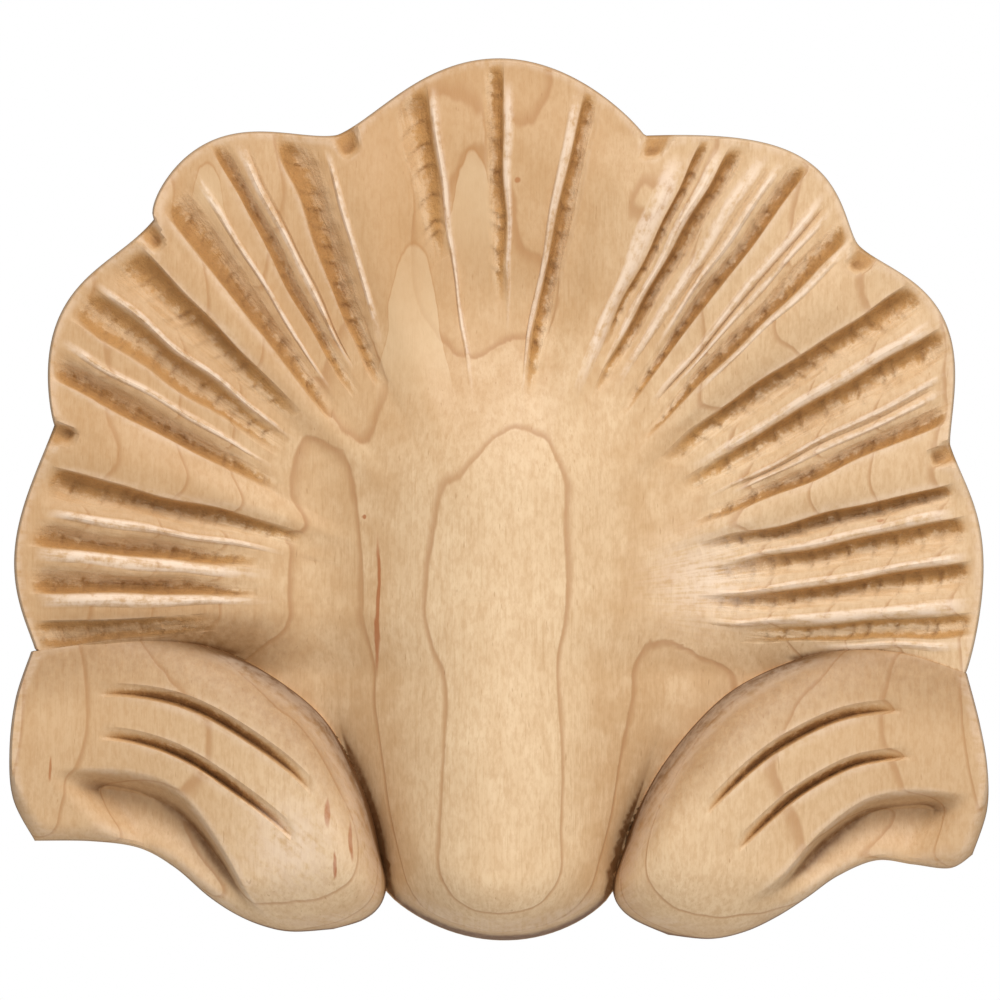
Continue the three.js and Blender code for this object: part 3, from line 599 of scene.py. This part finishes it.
def grooves(scroll, along, across):
    """Depth of the two cuts along a scroll, and which side of a cut each place is on."""
    cut, side = np.zeros_like(across), np.zeros_like(across)
    for groove in scroll["grooves"]:
        (from_along, _), (to_along, _) = groove
        share = np.clip((along - from_along) / (to_along - from_along), 0, 1)
        away = (across - groove_middle(groove, along)) / (0.5 * GROOVE_SHARE) - GROOVE_LEAN
        wall = np.where(away < 0, 1 + away / (1 + GROOVE_LEAN), 1 - away / (1 - GROOVE_LEAN))
        cut += GROOVE_DEPTH * np.clip(wall, 0, 1) * np.abs(np.sin(math.pi * share)) ** GROOVE_TAPER
        side = np.where(wall > 0, GROOVE_SIDE[0] + GROOVE_SIDE[1] * (away + GROOVE_LEAN), side)
    return cut, side


def scroll_surface(scroll, along, across):
    """Points on a scroll's front, at shares along it from its outer end and across it from the crease."""
    here = scroll_place(scroll, along, across)
    x, z = here[..., 0], here[..., 1]
    crown = mix(SCROLL_END_DEPTH, SCROLL_DEPTH, smooth(*CROWN_RUN, along))
    crown = crown * (1 - CROWN_FALL * smooth(*CROWN_FALL_RUN, across))
    in_cove, below, scoop = cove(scroll, along, across)
    cut, side = grooves(scroll, along, across)
    raw = crown - scoop - cut + HAND_WAVER * wander(2, x, z, HAND_LENGTH_SCROLL)

    edges = [(along, 0 * across), (along, 0 * across + 1), (0 * along + 1, across), (0 * along, across)]
    to_crease, to_rim, to_bulb, to_outer_end = (
        np.linalg.norm(here - scroll_place(scroll, s, t), axis=-1) for s, t in edges)
    low = mix(CREASE_END_DEPTH, SIDE_WALL, smooth(*CREASE_DEEPENING, along))
    raw = mix(low, raw, shoulder(to_crease, SCROLL_ROUND))
    rounding = (shoulder(to_rim, mix(SCROLL_RIM_ROUND, BULB_ROUND, smooth(*BULB_RUN, along)))
                * shoulder(to_bulb, BULB_ROUND)
                * shoulder(to_outer_end, mix(EDGE_ROUND, BOSS_ROUND, smooth(*BOSS_RUN, across))))
    depth = SIDE_WALL + (raw - SIDE_WALL) * rounding

    # painted shade: a dark line along the crease
    crease_line_shade = np.exp(-((to_crease / CREASE_LINE_WIDTH) ** 2)) * smooth(*CREASE_LINE_GROWTH, along)
    # painted shade on the scoop's upper wall, which faces down
    scoop_shade = SCOOP_SHADE * in_cove * smooth(*SCOOP_SHADE_GROWTH, below)
    scoop_shade = scoop_shade * (1 - smooth(*SCOOP_SHADE_END, below))
    # painted shade on the slope beside the crease
    shade_beside_crease = mix(*SHADE_BESIDE_CREASE, smooth(*SHADE_BESIDE_CREASE_RUN, along)) * (1 - smooth(*SHADE_BESIDE_CREASE_END, across))
    # darker beside the crease: partly brown finish, partly painted shade
    crease_finish_and_shade = CREASE_FINISH_AND_SHADE * (1 - smooth(*SCROLL_FINISH_ACROSS, across))
    marks = {
        "carved": smooth(*GROOVE_FRESH, cut),
        "tone": np.zeros_like(x),
        "side": side,
        # painted highlight on the bulb
        "wear_and_highlight": patch(x, z, HIGHLIGHT_ON_BULB),
        # painted shade along the crease
        "crease_line_shade": crease_line_shade * (1 - smooth(*CREASE_LINE_END, along)),
        # painted shade along the bottom of each groove
        "seam": GROOVE_SHADE_LINE * smooth(*GROOVE_SHADE_LINE_RUN, cut / GROOVE_DEPTH),
        # painted shade on the scoop's upper wall and on the slope beside the crease
        "painted_shade": np.maximum(scoop_shade, shade_beside_crease),
        "finish": np.maximum(1 - smooth(*SCROLL_FINISH_ALONG, along), crease_finish_and_shade),
        "across": across * SCROLL_SPAN[0],
        "along": along * SCROLL_SPAN[1],
    }
    return np.stack([x, -depth, CENTRE_HEIGHT + z], -1), marks


def grid_faces(rows, columns, closed):
    """Quads between neighbouring rows of a grid of points, counted row by row."""
    here = np.arange(rows * columns).reshape(rows, columns)
    beside = np.roll(here, -1, axis=1) if closed else here[:, 1:]
    near = here if closed else here[:, :-1]
    return np.stack([near[:-1], beside[:-1], beside[1:], near[1:]], -1).reshape(-1, 4)


def fan_angles():
    """Angles of the fan's lines: close together across each channel, wider apart below the shell."""
    spread = 0.5 - 0.5 * np.cos(np.linspace(0, math.pi, LINES_ACROSS_CHANNEL + 1))
    angles, last = [], FAN_START
    for (near, far), *_ in CHANNELS:
        steps = max(1, math.ceil((near - last) / LINE_GAP))
        angles += list(np.linspace(last, near, steps + 1)[1:-1])
        angles += list(near + (far - near) * spread)
        last = far
    steps = math.ceil((FAN_START + 360 - last) / HIDDEN_GAP)
    return np.array(angles + list(np.linspace(last, FAN_START + 360, steps + 1)[1:]))


def body_shell():
    """The whole body as a closed skin: points, faces and marks."""
    angles = fan_angles()
    _, _, start = fan_line(angles)
    width = round_width(angles) / outline_radius(angles)
    head = np.linspace(0, 1, HEAD_RINGS + 1)[1:-1, None] * start
    run = [*CHANNEL_STEPS, *np.linspace(EVEN_STEPS_FROM, 1, CHANNEL_RINGS)[:-1]]
    over = np.cos(np.linspace(0, math.pi / 2, EDGE_RINGS))[:, None]
    shares = np.concatenate([head, mix(start, 1 - width, np.array(run)[:, None]), 1 - width * over])
    rings, count = shares.shape
    points, marks = body_surface(np.broadcast_to(angles, shares.shape), shares)
    hub, _ = body_surface(np.array([0.0]), np.array([0.0]))
    points = points.reshape(-1, 3)
    back = points[-count:] * (1, 0, 1)
    points = np.concatenate([points, back, hub])
    first = np.arange(count)
    rim = first + (rings - 1) * count
    back_ids = first + rings * count
    walls = np.stack([rim, np.roll(rim, -1), np.roll(back_ids, -1), back_ids], -1)
    cap = np.stack([np.full(count, len(points) - 1), np.roll(first, -1), first], -1)
    polygons = [face.tolist() for face in (*grid_faces(rings, count, True), *walls, *cap, back_ids)]
    marks = {name: np.concatenate([values.ravel(), np.zeros(count), values.ravel()[:1]])
             for name, values in marks.items()}
    return points, polygons, marks


def scroll_shell(scroll):
    """A whole scroll as a closed skin: points, faces and marks."""
    even = np.linspace(0, 1, SCROLL_STEPS)[:, None]
    along = even - END_CROWDING * np.sin(2 * math.pi * even) / math.pi
    stops = [0 * along]
    for groove in scroll["grooves"]:
        middle = groove_middle(groove, along)
        stops += [middle + share * 0.5 * GROOVE_SHARE for share in (-1, 0, GROOVE_LEAN, 1)]
    stops += [cove_edge(scroll, along), 1 + 0 * along]
    rows = []
    for low, high, steps, crowding in zip(stops, stops[1:], SCROLL_ROWS, SCROLL_CROWDING):
        share = np.arange(steps)[None] / steps
        rows.append(mix(low, high, share ** crowding))
    across = np.concatenate([*rows, stops[-1]], axis=1)
    points, marks = scroll_surface(scroll, np.broadcast_to(along, across.shape), across)
    points = points.reshape(-1, 3)
    ids = np.arange(across.size).reshape(across.shape)
    around = np.concatenate([ids[0], ids[1:, -1], ids[-1, -2::-1], ids[-2:0:-1, 0]])
    back_ids = np.arange(len(around)) + len(points)
    points = np.concatenate([points, points[around] * (1, 0, 1)])
    walls = np.stack([around, back_ids, np.roll(back_ids, -1), np.roll(around, -1)], -1)
    faces = grid_faces(*across.shape, False)
    polygons = [face.tolist() for face in (*faces, *walls, back_ids[::-1])]
    marks = {name: np.concatenate([values.ravel(), np.zeros(len(around))]) for name, values in marks.items()}
    return points, polygons, marks


def solid_object(name, points, polygons):
    """A closed solid in the scene, with its faces turned outwards."""
    mesh = bpy.data.meshes.new(name)
    mesh.from_pydata((points * MM).tolist(), [], polygons)
    mesh.validate()
    foremost = max(mesh.polygons, key=lambda face: -face.center.y)
    if foremost.normal.y > 0:
        mesh.flip_normals()
    obj = bpy.data.objects.new(name, mesh)
    bpy.context.scene.collection.objects.link(obj)
    return obj


def unite(base, others):
    """Joins the solids into one and takes the others away."""
    for other in others:
        union = base.modifiers.new("union", "BOOLEAN")
        union.operation = "UNION"
        union.solver = "MANIFOLD"
        union.object = other
    graph = bpy.context.evaluated_depsgraph_get()
    mesh = bpy.data.meshes.new_from_object(base.evaluated_get(graph))
    base.modifiers.clear()
    base.data = mesh
    for other in others:
        bpy.data.objects.remove(other)
    return base


def blur(values, spread):
    reach = int(3 * spread)
    kernel = np.exp(-0.5 * (np.arange(-reach, reach + 1) / spread) ** 2)
    for axis in (0, 1):
        values = np.apply_along_axis(lambda line: np.convolve(line, kernel, "same"), axis, values)
    return values


def recess(points, widths):
    """How far each point lies below its surroundings of these widths, all in millimetres."""
    margin = 4 * max(widths)
    flat = points[:, [0, 2]]
    low = flat.min(0) - margin
    size = np.ceil((flat.max(0) + margin - low) / RECESS_CELL).astype(int)
    at = (flat - low) / RECESS_CELL
    corner = at.astype(int)
    part = at - corner
    front = points[:, 1] < -1
    corners = [((i, j), (part[:, 0] if i else 1 - part[:, 0]) * (part[:, 1] if j else 1 - part[:, 1]))
               for i in (0, 1) for j in (0, 1)]
    height, weight = np.zeros(size), np.zeros(size)
    for step, share in corners:
        place = tuple((corner[front] + step).T)
        np.add.at(height, place, -points[front, 1] * share[front])
        np.add.at(weight, place, share[front])
    spread_weight = blur(weight, RECESS_BLUR)
    known = spread_weight > 0.02
    filled = blur(height, RECESS_BLUR) / np.maximum(spread_weight, 1e-9) * known
    result = []
    for width in widths:
        spread = width / RECESS_CELL
        around = blur(filled, spread) / np.maximum(blur(known.astype(float), spread), 1e-9)
        read = sum(around[tuple((corner + step).T)] * share for step, share in corners)
        result.append(np.where(front, read + points[:, 1], 0))
    return result


def add_marks(mesh, known_points, known_marks):
    """Gives each point of the joined mesh the marks of the nearest known point, and its recesses."""
    tree = KDTree(len(known_points))
    for number, point in enumerate(known_points):
        tree.insert(point, number)
    tree.balance()
    flat = np.empty(3 * len(mesh.vertices))
    mesh.vertices.foreach_get("co", flat)
    points = flat.reshape(-1, 3) / MM
    nearest = np.array([tree.find(point)[1] for point in points])
    marks = {name: values[nearest] for name, values in known_marks.items()}
    marks.update(zip(RECESS_WIDTHS, recess(points, RECESS_WIDTHS.values())))
    for name, values in marks.items():
        mesh.attributes.new(name, "FLOAT", "POINT").data.foreach_set("value", values)


shells = {"shell_carving": body_shell()}
for side, scroll in SCROLLS.items():
    shells[f"scroll_{side}"] = scroll_shell(scroll)
solids = [solid_object(name, points, polygons) for name, (points, polygons, _) in shells.items()]
shell_points = np.concatenate([points for points, _, _ in shells.values()])
shell_marks = [marks for _, _, marks in shells.values()]
shell_marks = {name: np.concatenate([marks[name] for marks in shell_marks]) for name in shell_marks[0]}
carving = unite(solids[0], solids[1:])
add_marks(carving.data, shell_points, shell_marks)
carving.data.shade_smooth()
carving.data.set_sharp_from_angle(angle=math.radians(SHARP_ANGLE))


def srgb(red, green, blue):
    """A colour as seen, 0 to 255, in the linear values that the shader takes."""
    linear = [((c / 255 + 0.055) / 1.055) ** 2.4 if c > 10 else c / 255 / 12.92 for c in (red, green, blue)]
    return (*linear, 1.0)


class Graph:
    """A material's nodes, with short calls for the ones used here."""

    def __init__(self, name):
        self.material = bpy.data.materials.new(name)
        self.material.use_nodes = True
        self.tree = self.material.node_tree
        self.tree.nodes.clear()

    def add(self, kind, inputs=(), output=0, **settings):
        node = self.tree.nodes.new(kind)
        for name, value in settings.items():
            setattr(node, name, value)
        for name, value in dict(inputs).items():
            self.put(node.inputs[name], value)
        return node.outputs[output]

    def put(self, socket, value):
        if isinstance(value, bpy.types.NodeSocket):
            self.tree.links.new(value, socket)
        else:
            socket.default_value = value

    def math(self, operation, a, b=0.0, c=0.0):
        return self.add("ShaderNodeMath", {0: a, 1: b, 2: c}, operation=operation)

    def ramp(self, value, low, high):
        inputs = {"Value": value, "From Min": low, "From Max": high}
        return self.add("ShaderNodeMapRange", inputs, interpolation_type="SMOOTHSTEP")

    def blend(self, share, a, b):
        node = self.tree.nodes.new("ShaderNodeMix")
        node.data_type = "RGBA"
        self.put(node.inputs[0], share)
        self.put(node.inputs[6], a)
        self.put(node.inputs[7], b)
        return node.outputs[2]

    def noise(self, vector, scale, detail, roughness):
        inputs = {"Vector": vector, "Scale": scale, "Detail": detail, "Roughness": roughness}
        return self.add("ShaderNodeTexNoise", inputs)

    def stretch(self, vector, x, y, z):
        return self.add("ShaderNodeVectorMath", {0: vector, 1: (x, y, z)}, operation="MULTIPLY")

    def mark(self, name):
        return self.add("ShaderNodeAttribute", output="Fac", attribute_name=name)

    def times(self, a, b):
        return self.math("MULTIPLY", a, b)

    def plus(self, a, b):
        return self.math("ADD", a, b)

    def minus(self, a, b):
        return self.math("SUBTRACT", a, b)

    def rest(self, share):
        return self.minus(1.0, share)

    def band(self, value, rise, fall):
        """Rises over one run of the value and falls over another."""
        return self.times(self.ramp(value, *rise), self.rest(self.ramp(value, *fall)))

    def sway(self, noise, amount):
        """The noise about zero."""
        return self.times(self.minus(noise, 0.5), amount)

    def uneven(self, noise, least, more):
        """A strength that varies with the noise, from the least upwards."""
        return self.plus(least, self.times(noise, more))

    def layer(self, colour, share, strength, tint):
        return self.blend(self.times(share, strength), colour, tint)


# The wood. Growth rings lie around an axis behind the back, so that the carving cuts them into loops.
PITH_X, PITH_Y = -1.5, 90.0
RING_PITCH = 4.75
RING_SHIFT = 1.7
RING_TAPER = 0.02
RING_WAVER = 6.0
RING_RIPPLE = 0.5
PALE_RINGS_AND_SHEEN = (105.5, 109.0)  # distance from the axis over which the wood grows paler, partly a painted sheen on the dome's crest
FRONT_EDGE = 0.4  # height above the walls from which the front's colours hold
ARCHES = [  # pale pointed tops of growth rings: apex x and z, spread and length
    (-12.4, 36.5, 2.2, 26.0),
    (-3.9, 50.0, 1.9, 20.0),
    (-42.0, 48.0, 1.6, 13.0),
]
FLECKS = [  # reddish flecks along the grain: x, z, half width and half length
    (-17.4, -15.2, 0.42, 11.0),
    (-23.7, -51.8, 0.3, 2.2),
    (-21.0, -48.6, 0.4, 3.2),
    (-23.9, -52.6, 0.3, 1.6),
    (-24.8, -44.5, 0.35, 2.4),
    (-30.8, -24.6, 0.5, 0.6),
    (-19.6, -2.4, 0.4, 0.4),
    (26.5, -25.1, 0.5, 0.4),
    (54.1, -2.9, 0.7, 0.35),
    (58.4, -6.4, 0.6, 0.6),
    (31.8, 21.5, 0.4, 0.4),
    (2.4, 45.7, 0.5, 0.5),
    (-64.0, -38.4, 0.25, 2.0),
]
WARM_WOOD = srgb(210, 172, 128)
PALE_WOOD = srgb(226, 193, 152)
LATE_WOOD = srgb(205, 164, 118)
# palest wood, partly a painted sheen on the dome's crest
PALEST_WOOD_AND_SHEEN = srgb(236, 207, 168)
RING_LINE = srgb(168, 114, 68)
SILK = srgb(204, 165, 120)
FIBRE = srgb(188, 146, 101)
SPECK = srgb(165, 118, 74)
GRAIN = srgb(190, 145, 98)
ARCH_LINE = srgb(181, 130, 82)
ARCH = srgb(235, 209, 170)
FLECK = srgb(170, 98, 50)
DULL_CUT = srgb(196, 145, 88)
BRIGHT_CUT = srgb(222, 178, 126)
# pale torn streaks on a channel's gentle side, partly painted highlight
TORN_AND_HIGHLIGHT = srgb(248, 215, 174)
SHADED_CUT = srgb(190, 137, 72)
# darkest brown at a channel's steep side: painted shade, partly stained end grain
DARK_CUT_AND_SHADE = srgb(136, 88, 40)
# dark seams between gouge passes and in thin cuts, and painted shade along the bottom of the scrolls' grooves
SEAM_AND_SHADE_LINE = srgb(112, 66, 24)
# brown finish, also used as painted shade on the dome's head and beside the scrolls' creases
FINISH_AND_SHADE_BROWN = srgb(184, 134, 80)
# brown of the painted shade above the left scroll, in the scoops and beside the creases
PAINTED_SHADE_BROWN = srgb(140, 98, 54)
# dark brown of the painted shade in the crease
CREASE_LINE_SHADE = srgb(84, 52, 24)
# dark brown of the recesses: partly dirt, partly painted shade
DIRT_AND_SHADE = srgb(112, 70, 32)
# pale of worn edges and ridge crests, and of painted highlights
PALE_WEAR_AND_HIGHLIGHT = srgb(242, 217, 192)


class Wood(Graph):
    """Maple: each method lays one more thing over the colour and returns it."""

    def __init__(self):
        super().__init__("carved_maple")
        position = self.add("ShaderNodeTexCoord", output="Object")
        self.place = self.stretch(position, 1 / MM, 1 / MM, 1 / MM)
        split = self.tree.nodes.new("ShaderNodeSeparateXYZ")
        self.put(split.inputs[0], self.place)
        self.x, self.y, self.z = split.outputs
        self.front = self.ramp(self.times(self.y, -1.0), SIDE_WALL, SIDE_WALL + FRONT_EDGE)
        self.carved = self.times(self.mark("carved"), self.front)
        self.close, self.wide = self.mark("close_recess"), self.mark("wide_recess")
        self.slow = self.noise(self.stretch(self.place, 1, 1, 0.35), 0.045, 2.0, 0.5)
        self.quick = self.noise(self.stretch(self.place, 1, 1, 0.3), 0.3, 3.0, 0.55)
        self.fibre = self.noise(self.stretch(self.place, 1, 1, 0.05), 3.2, 4.0, 0.62)
        self.silk = self.noise(self.stretch(self.place, 1, 1, 0.12), 0.9, 3.0, 0.55)
        self.mottle = self.noise(self.place, 0.22, 3.0, 0.6)
        self.blotch = self.noise(self.place, 0.75, 4.0, 0.65)
        along_cut = self.tree.nodes.new("ShaderNodeCombineXYZ")
        self.put(along_cut.inputs[0], self.mark("across"))
        self.put(along_cut.inputs[1], self.times(self.mark("along"), 0.16))
        self.streaks = self.noise(along_cut.outputs[0], 0.9, 4.0, 0.6)
        self.measure_rings()

    def measure_rings(self):
        """Distance from the rings' axis, and in each ring its late wood and the line that ends it."""
        dx, dy = self.minus(self.x, PITH_X), self.minus(self.y, PITH_Y)
        away = self.math("SQRT", self.plus(self.times(dx, dx), self.times(dy, dy)))
        radius = self.plus(away, self.math("MULTIPLY_ADD", self.z, RING_TAPER, RING_SHIFT))
        radius = self.plus(radius, self.sway(self.slow, RING_WAVER))
        self.radius = self.plus(radius, self.sway(self.quick, RING_RIPPLE))
        phase = self.math("FRACT", self.math("DIVIDE", self.radius, RING_PITCH))
        self.late = self.band(phase, (0.62, 0.965), (0.965, 1.0))
        self.line = self.band(phase, (0.90, 0.972), (0.975, 1.0))

    def bare(self):
        """Growth rings, paler wood far from their axis that is partly a painted sheen on the dome's crest,
        silk, fibres and grain.
        """
        speck = self.noise(self.stretch(self.place, 1, 1, 0.16), 2.6, 1.0, 0.5)
        grain = self.noise(self.stretch(self.place, 1, 1, 0.45), 1.5, 3.0, 0.65)
        layers = [
            (self.late, 0.42, LATE_WOOD),
            # paler far from the axis, partly a painted sheen on the dome's crest
            (self.ramp(self.radius, *PALE_RINGS_AND_SHEEN), 0.55, PALEST_WOOD_AND_SHEEN),
            (self.line, 0.6, RING_LINE),
            (self.ramp(self.silk, 0.35, 0.75), 0.3, SILK),
            (self.ramp(self.fibre, 0.5, 0.8), 0.45, FIBRE),
            (self.ramp(speck, 0.72, 0.8), 0.45, SPECK),
            (self.ramp(grain, 0.38, 0.68), 0.33, GRAIN),
        ]
        colour = self.blend(self.ramp(self.mottle, 0.3, 0.72), WARM_WOOD, PALE_WOOD)
        for share, strength, tint in layers:
            colour = self.layer(colour, share, strength, tint)
        return colour

    def arches(self, colour):
        """Pale pointed tops of growth rings, each with a brown line around it."""
        bend = self.sway(self.quick, 2.5)
        for apex_x, apex_z, spread, length in ARCHES:
            u = self.math("DIVIDE", self.plus(self.minus(self.x, apex_x), bend), spread)
            v = self.minus(apex_z, self.z)
            inside = self.minus(self.math("DIVIDE", v, spread), self.times(self.times(u, u), 1.6))
            pale = self.times(self.ramp(inside, -0.1, 0.25), self.rest(self.ramp(v, length * 0.35, length)))
            rim = self.band(inside, (-0.45, -0.1), (-0.1, 0.1))
            rim = self.times(rim, self.rest(self.ramp(v, length * 0.3, length)))
            colour = self.layer(colour, self.times(rim, self.front), 0.55, ARCH_LINE)
            colour = self.layer(colour, self.times(pale, self.front), 0.6, ARCH)
        return colour

    def flecks(self, colour):
        bend = self.sway(self.quick, 2.2)
        for fleck_x, fleck_z, half_width, half_length in FLECKS:
            u = self.math("DIVIDE", self.plus(self.minus(self.x, fleck_x), bend), half_width)
            v = self.math("DIVIDE", self.minus(self.z, fleck_z), half_length)
            away = self.plus(self.times(u, u), self.times(v, v))
            there = self.times(self.front, self.rest(self.ramp(away, 0.25, 1.1)))
            colour = self.layer(colour, there, 0.8, FLECK)
        return colour

    def gouged(self, colour):
        """Gouged places: brown and blotchy, with paler torn streaks along the cut on the gentle side, partly
        painted highlight, and painted shade toward the steep side, partly stained end grain.
        """
        side, tone = self.mark("side"), self.mark("tone")
        blotched_side = self.plus(side, self.sway(self.blotch, 0.9))
        across = self.plus(blotched_side, self.times(tone, 0.07))
        cut = self.ramp(self.plus(self.blotch, self.times(tone, 0.09)), 0.34, 0.62)
        cut = self.blend(cut, DULL_CUT, BRIGHT_CUT)
        torn = self.rest(self.ramp(across, 0.48, 0.7))
        torn = self.times(torn, self.uneven(self.ramp(self.streaks, 0.4, 0.6), 0.5, 0.5))
        # pale torn streaks on the gentle side, partly painted highlight
        cut = self.blend(torn, cut, TORN_AND_HIGHLIGHT)
        cut = self.layer(cut, self.ramp(across, 0.5, 0.8), 0.9, SHADED_CUT)
        darkest = self.plus(side, self.sway(self.noise(self.place, 1.3, 4.0, 0.7), 1.1))
        # painted shade, partly stained end grain, darkest toward the steep side
        cut = self.layer(cut, self.ramp(darkest, 0.8, 1.15), 0.6, DARK_CUT_AND_SHADE)
        seams = self.times(self.mark("seam"), self.plus(0.15, self.ramp(self.blotch, 0.38, 0.62)))
        # seams between passes, thin cuts, and painted shade along the scrolls' grooves
        cut = self.layer(cut, self.math("MINIMUM", seams, 1.0), 0.75, SEAM_AND_SHADE_LINE)
        shown = self.times(self.carved, self.ramp(blotched_side, -0.25, 0.1))
        return self.layer(colour, shown, 0.92, cut)

    def aged(self, colour):
        """Brown finish, worn off the dome and the bulbs, with painted shade on the dome's head and beside the
        creases, more painted shade in the creases and scoops, and recesses darker with soiling and painted
        shade.
        """
        # brown finish, with the painted shade on the dome's head and beside the scrolls' creases
        stain_and_shade = self.times(self.mark("finish"), self.uneven(self.mottle, 0.2, 0.5))
        colour = self.layer(colour, stain_and_shade, 0.85, FINISH_AND_SHADE_BROWN)
        # painted shade above the left scroll, in the scoops and beside the creases
        painted_shade = self.times(self.mark("painted_shade"), self.uneven(self.blotch, 0.2, 0.8))
        colour = self.blend(painted_shade, colour, PAINTED_SHADE_BROWN)
        # painted shade along the scrolls' creases
        colour = self.layer(colour, self.mark("crease_line_shade"), 0.85, CREASE_LINE_SHADE)
        # darker in close and wide recesses: partly dirt, partly painted shade
        dirt_and_shade = self.times(self.ramp(self.close, 0.12, 0.75), 0.8)
        dirt_and_shade = self.plus(dirt_and_shade, self.times(self.ramp(self.wide, 0.8, 3.2), 0.35))
        dirt_and_shade = self.times(dirt_and_shade, self.uneven(self.blotch, 0.35, 0.9))
        dirt_and_shade = self.times(dirt_and_shade, self.rest(self.times(self.carved, 0.45)))
        return self.blend(self.math("MINIMUM", self.times(dirt_and_shade, self.front), 0.92), colour, DIRT_AND_SHADE)

    def worn_and_highlighted(self, colour):
        """Paler wood along raised edges and ridge crests, partly wear and partly painted highlight, and
        painted highlights beside the dome and on the left bulb.
        """
        # paler along raised edges: partly wear, partly painted highlight
        edges = self.times(self.ramp(self.times(self.close, -1.0), 0.1, 0.5), 0.35)
        worn_and_highlighted = self.math("MINIMUM", self.plus(edges, self.mark("wear_and_highlight")), 1.0)
        worn_and_highlighted = self.times(worn_and_highlighted, self.ramp(self.plus(self.blotch, self.streaks), 0.7, 1.15))
        return self.layer(colour, worn_and_highlighted, 0.8, PALE_WEAR_AND_HIGHLIGHT)

    def relief(self):
        """Fine relief: fibres and ring lines, and rougher torn wood where it is gouged."""
        torn = self.noise(self.place, 2.1, 5.0, 0.7)
        height = self.plus(self.times(self.fibre, 0.05), self.times(self.line, -0.03))
        height = self.plus(height, self.times(self.times(torn, self.carved), 0.32))
        height = self.plus(height, self.times(self.times(self.streaks, self.carved), 0.35))
        return self.add("ShaderNodeBump", {"Strength": 0.8, "Distance": MM, "Height": height})

    def finish(self, colour):
        shader = self.tree.nodes.new("ShaderNodeBsdfPrincipled")
        roughness = self.plus(self.uneven(self.carved, 0.5, 0.25), self.sway(self.silk, 0.2))
        inputs = {"Base Color": colour, "Roughness": roughness, "Normal": self.relief(), "IOR": 1.48,
                  "Specular IOR Level": 0.35}
        for name, value in inputs.items():
            self.put(shader.inputs[name], value)
        output = self.tree.nodes.new("ShaderNodeOutputMaterial")
        self.put(output.inputs[0], shader.outputs[0])
        return self.material


def carved_maple():
    wood = Wood()
    colour = wood.flecks(wood.arches(wood.bare()))
    colour = wood.worn_and_highlighted(wood.aged(wood.gouged(colour)))
    return wood.finish(colour)


carving.name = "shell_carving"
carving.data.materials.clear()
carving.data.materials.append(carved_maple())
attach(carving, "root")
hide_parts("shell_ornament")

# A pale floor well below the ornament, out of the camera's view
FLOOR_DROP = 0.2
FLOOR_SIZE = 3.0
floor_mesh = bpy.data.meshes.new("floor")
half = FLOOR_SIZE / 2
floor_corners = [(-half, -half, 0), (half, -half, 0), (half, half, 0), (-half, half, 0)]
floor_mesh.from_pydata(floor_corners, [], [(0, 1, 2, 3)])
floor = bpy.data.objects.new("floor", floor_mesh)
floor.location.z = cad_box[0].z - FLOOR_DROP
bpy.context.scene.collection.objects.link(floor)
plain = Graph("pale_floor")
plain_shader = plain.tree.nodes.new("ShaderNodeBsdfPrincipled")
plain_shader.inputs["Base Color"].default_value = (0.85, 0.85, 0.84, 1)
plain_shader.inputs["Roughness"].default_value = 0.8
plain.put(plain.tree.nodes.new("ShaderNodeOutputMaterial").inputs[0], plain_shader.outputs[0])
floor_mesh.materials.append(plain.material)

# Soft studio light: a bright sky all around and large panels above, in front and to the left
SKY = 0.298
PANELS = [  # name, place, size and power
    ("key", (0.2, -0.95, 1.0), 0.8, 16.5),
    ("fill", (0.4, -1.5, 0.0), 1.0, 3.6),
]
world = bpy.data.worlds.new("studio")
bpy.context.scene.world = world
world.use_nodes = True
sky = world.node_tree
sky.nodes.clear()
seen = sky.nodes.new("ShaderNodeLightPath").outputs["Is Camera Ray"]
strength = sky.nodes.new("ShaderNodeMix")
strength.inputs[2].default_value = SKY
strength.inputs[3].default_value = 1.0
sky.links.new(seen, strength.inputs[0])
backdrop = sky.nodes.new("ShaderNodeBackground")
backdrop.inputs["Color"].default_value = (1, 1, 1, 1)
sky.links.new(strength.outputs[0], backdrop.inputs["Strength"])
sky.links.new(backdrop.outputs[0], sky.nodes.new("ShaderNodeOutputWorld").inputs[0])
for name, place, size, power in PANELS:
    panel = bpy.data.lights.new(name, "AREA")
    panel.shape = "SQUARE"
    panel.size = size
    panel.energy = power
    lamp = bpy.data.objects.new(name, panel)
    lamp.location = place
    lamp.rotation_euler = (-Vector(place)).to_track_quat("-Z", "Y").to_euler()
    bpy.context.scene.collection.objects.link(lamp)

# The camera looks straight at the front; the ornament fills the photograph's width nearly to its edges
CAMERA_AWAY = 1.6
FRAME_WIDTH = 0.14315
camera_data = bpy.data.cameras.new("camera")
camera_data.sensor_width = 36.0
camera_data.lens = 36.0 * CAMERA_AWAY / FRAME_WIDTH
camera = bpy.data.objects.new("camera", camera_data)
camera.location = (0, -CAMERA_AWAY - SIDE_WALL * MM, 0)
camera.rotation_euler = (math.pi / 2, 0, 0)
bpy.context.scene.collection.objects.link(camera)
bpy.context.scene.camera = camera
bpy.context.scene.view_settings.view_transform = "Standard"
